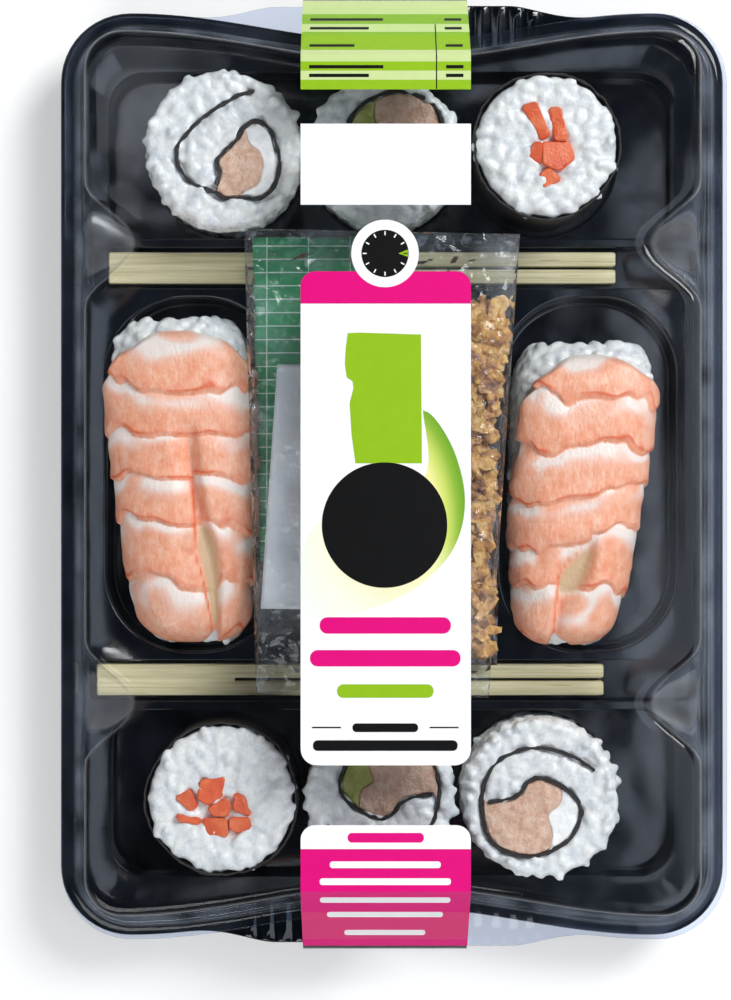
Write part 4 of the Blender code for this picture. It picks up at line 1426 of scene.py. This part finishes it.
def bar(x0, x1, y0, y1, radius=0.0, corners=(1, 1, 1, 1)):
    """A plan rectangle whose chosen corners are round: far right, far left, near left, near right."""
    if not radius:
        return [(x0, y0), (x1, y0), (x1, y1), (x0, y1)]
    made = []
    for quarter, (cx, cy) in enumerate(((x1, y1), (x0, y1), (x0, y0), (x1, y0))):
        if not corners[quarter]:
            made.append((cx, cy))
            continue
        sx, sy = (1, -1, -1, 1)[quarter], (1, 1, -1, -1)[quarter]
        for k in range(9):
            a = (quarter + k / 8) * pi / 2
            made.append((cx - sx * radius + radius * cos(a), cy - sy * radius + radius * sin(a)))
    return made


def disc(x, y, radius, count=72):
    turns = [2 * pi * k / count for k in range(count)]
    return [(x + radius * cos(a), y + radius * sin(a)) for a in turns]


L, R = FILM_X0 + 0.05, FILM_X1 - 0.05
rows = [
    (100.4, 101.6, "pale_green"), (97.8, 100.4, "pale_green"), (95.1, 97.8, "green"),
    (92.9, 95.1, "pale_green"),
    (88.0, 92.9, "green"), (85.3, 88.0, "pale_green"), (83.4, 85.3, "green"), (81.5, 83.4, "pale_green"),
    (79.5, 81.5, "green"),
]
for k, (y0, y1, shade) in enumerate(rows):
    printed(f"table_row_{k + 1}", bar(L, R, y0, y1), shade, 1)
printed("table_rule", bar(8.9, 9.15, 79.6, 95.0), "black", 2)
for k in range(5):
    y = (96.3, 93.9, 89.2, 84.2, 82.4)[k]
    printed(f"table_line_{k + 1}", bar(-17.4, -2.0 - 3.0 * (k % 3), y - 0.35, y + 0.35), "black", 2)
    printed(f"table_value_{k + 1}", bar(11.0, 14.6, y - 0.35, y + 0.35), "black", 2)
printed("date_panel", bar(L, R, 55.6, 72.4), "white", 1)
printed("name_panel", bar(L, R, -60.6, 35.15, 3.4, (0, 0, 1, 1)), "white", 1)
printed("heading_bar", bar(L, R, 35.1, 41.8, 3.0, (1, 1, 0, 0)), "magenta", 1)
printed("dial_ring", disc(-1.65, 45.5, 7.0), "white", 2)
printed("dial_face", disc(-1.65, 45.5, 4.9), "black", 3)
for k in range(12):
    a = 2 * pi * k / 12
    c, s = cos(a), sin(a)
    corners = ((3.8, 0.13), (4.6, 0.13), (4.6, -0.13), (3.8, -0.13))
    spoke = [(-1.65 + r * c - w * s, 45.5 + r * s + w * c) for r, w in corners]
    printed(f"dial_tick_{k + 1}", spoke, "white", 4)
printed("dial_wedge", [(1.1, 45.5), (3.1, 46.3), (3.1, 44.8)], "green", 4)
brush = [
    (-9.4, 29.0), (-7.0, 29.1), (5.8, 28.7), (6.0, 2.0), (-7.8, 2.0), (-8.6, 8.0), (-9.0, 14.5), (-8.2, 17.6),
    (-8.4, 19.0), (-9.6, 19.8), (-10.0, 22.5), (-9.8, 26.0),
]
printed("brushed_block", brush, "green", 2)


def pear_colour(tree, place):
    """Green at the skin on the right, fading through yellow to white at the lower left."""
    parts = add(tree, "SeparateXYZ", {0: place})
    offset = add(tree, "VectorMath", {0: place, 1: (-3.2, -11.0, 33.3)}, operation="SUBTRACT")
    flat = add(tree, "VectorMath", {0: offset, 1: (1.0, 0.62, 0.0)}, operation="MULTIPLY")
    ring = add(tree, "VectorMath", {0: flat}, operation="LENGTH").outputs["Value"]
    skin = add(
        tree, "ValToRGB", {0: add(tree, "MapRange", {0: ring, 1: 9.0, 2: 19.0})},
        stops=[
            (0.0, "EDE88A"), (0.35, "F1EE9E"), (0.55, "CFDD6B"), (0.78, "8CB63A"), (0.93, "6FA52A"),
            (1.0, "A9C97A"),
        ],
    )
    low = add(tree, "MapRange", {0: parts.outputs["Y"], 1: -30.0, 2: -14.0, 3: 0.75, 4: 0.0})
    left = add(tree, "MapRange", {0: parts.outputs["X"], 1: -19.0, 2: -2.0, 3: 0.85, 4: 0.0})
    return mixed(tree, left, mixed(tree, low, skin, "F9F9F2"), "FCFCF8")


pear_ink = surface("pear_print", pear_colour, 0.45, Specular_IOR_Level=0.2)
pear = [(6.2, 13.0), (8.0, 12.0), (10.6, 8.6), (12.9, 4.0), (14.5, -1.6), (14.9, -6.6), (14.1, -11.8),
        (12.0, -16.6), (8.6, -20.6), (3.8, -24.4), (-3.0, -27.6), (-10.0, -29.4), (-18.9, -28.8),
        (-18.9, -16.0), (-12.0, -8.0),
        (6.0, -2.0)]
printed("fruit_shape", [(max(p[0], L), p[1]) for p in smooth_line(pear + pear[:1], 6)[:-1]], pear_ink, 2)
printed("name_disc", disc(-1.75, -10.8, 13.0, 120), "black", 3)
for k, (half, y) in enumerate(((13.6, -31.6), (15.6, -38.4))):
    printed(f"title_bar_{k + 1}", bar(-1.6 - half, -1.6 + half, y - 1.7, y + 1.7, 1.6), "magenta", 2)
printed("title_bar_3", bar(-11.6, 8.4, -46.6, -43.8, 1.3), "green", 2)
for side in (1, -1):
    x = -1.6 + side * 12.2
    printed(f"thin_rule_{'right' if side > 0 else 'left'}", bar(x - 3.0, x + 3.0, -52.9, -52.6), "black", 2)
printed("small_bar_1", bar(-8.4, 5.2, -53.7, -51.9, 0.8), "black", 2)
printed("small_bar_2", bar(-16.6, 13.4, -57.6, -55.4, 1.0), "black", 2)
printed("count_panel", bar(L, R, -78.0, -73.0, 3.0, (1, 1, 0, 0)), "white", 1)
printed("list_panel", bar(L, R, -101.2, -77.95), "magenta", 1)
printed("count_bar", bar(-9.4, 6.4, -76.6, -74.6, 0.9), "magenta", 2)
for k, (half, y) in enumerate(((11.5, -81.2), (13.6, -84.7), (13.6, -89.0), (12.2, -92.8), (8.6, -97.6))):
    printed(f"list_line_{k + 1}", bar(-1.6 - half, -1.6 + half, y - 0.7, y + 0.7, 0.6), "white", 2)

# ---------------------------------------------------------------- table top, camera and lights
# The pack lies on a white surface under a wide soft light from the far right, so its shadow falls to the
# near left. The camera looks straight down from half a metre.


def table_colour(tree, place):
    return add(tree, "ValToRGB", {0: speckle(tree, place, 0.01)}, stops=[(0.3, "E2E2E2"), (0.7, "E4E4E4")])


white = surface("white_table", table_colour, 0.9, Specular_IOR_Level=0.0, Emission_Color="FFFFFF")
tree = white.node_tree
glow = add(tree, "Math", {0: add(tree, "LightPath").outputs["Is Camera Ray"], 1: 0.3}, operation="MULTIPLY")
shader = next(n for n in tree.nodes if n.type == "BSDF_PRINCIPLED")
tree.links.new(glow.outputs[0], shader.inputs["Emission Strength"])
floor_mesh = bpy.data.meshes.new("table_top")
floor_mesh.from_pydata([(-3, -3, 0), (3, -3, 0), (3, 3, 0), (-3, 3, 0)], [], [(0, 1, 2, 3)])
floor_mesh.materials.append(white)
table_top = bpy.data.objects.new("table_top", floor_mesh)
bpy.context.scene.collection.objects.link(table_top)

camera_data = bpy.data.cameras.new("camera")
camera_data.lens = 36.0 * 2348.0 / 1000.0
camera_data.sensor_width = 36.0
camera_data.clip_start = 0.01
camera = bpy.data.objects.new("camera", camera_data)
camera.location = (-5.7 * MM, -5.6 * MM, 520 * MM)
bpy.context.scene.collection.objects.link(camera)
bpy.context.scene.camera = camera


def softbox(name, place, target, width, height, power, shade="FFFFFF"):
    data = bpy.data.lights.new(name, "AREA")
    data.shape = "RECTANGLE"
    data.size, data.size_y = width, height
    data.energy = power
    data.color = linear(shade)[:3]
    made = bpy.data.objects.new(name, data)
    made.location = place
    away = Vector(place) - Vector(target)
    made.rotation_euler = away.to_track_quat("Z", "Y").to_euler()
    bpy.context.scene.collection.objects.link(made)


softbox("key", (0.62, 0.58, 0.75), (0, 0, 0), 0.5, 0.5, 12.6)
softbox("fill", (-0.35, -0.8, 0.75), (0, 0, 0), 0.7, 0.7, 6.6)
softbox("window_right", (0.27, -0.06, 0.64), (0.27, -0.06, 0), 0.30, 0.44, 0.85, "E4EEFF")
softbox("window_left", (-0.135, 0.18, 0.64), (-0.135, 0.18, 0), 0.10, 0.07, 0.045, "EEF4FF")

world = bpy.data.worlds.new("studio")
bpy.context.scene.world = world
world.use_nodes = True
tree = world.node_tree
tree.nodes.clear()
out = tree.nodes.new("ShaderNodeOutputWorld")
height = add(tree, "SeparateXYZ", {0: add(tree, "TexCoord").outputs["Generated"]}).outputs["Z"]
patches = speckle(tree, add(tree, "TexCoord").outputs["Generated"], 1.7, 2.0)
uneven = add(tree, "MapRange", {0: patches, 1: 0.35, 2: 0.65, 3: 0.25, 4: 1.15})
room = add(
    tree, "ValToRGB", {0: add(tree, "MapRange", {0: height, 1: 0.0, 2: 1.0})},
    stops=[(0.0, "B9BEC6"), (0.35, "979DA6"), (0.7, "474C53"), (1.0, "24282D")],
)
strength = add(tree, "Math", {0: uneven, 1: 0.7}, operation="MULTIPLY")
scene_light = add(tree, "Background", {"Color": room, "Strength": strength})
seen = add(tree, "Background", {"Color": "FFFFFF", "Strength": 1.0})
camera_ray = add(tree, "LightPath").outputs["Is Camera Ray"]
mixed_world = add(tree, "MixShader", {0: camera_ray, 1: scene_light, 2: seen})
tree.links.new(mixed_world.outputs[0], out.inputs[0])
bpy.context.scene.view_settings.view_transform = "Standard"
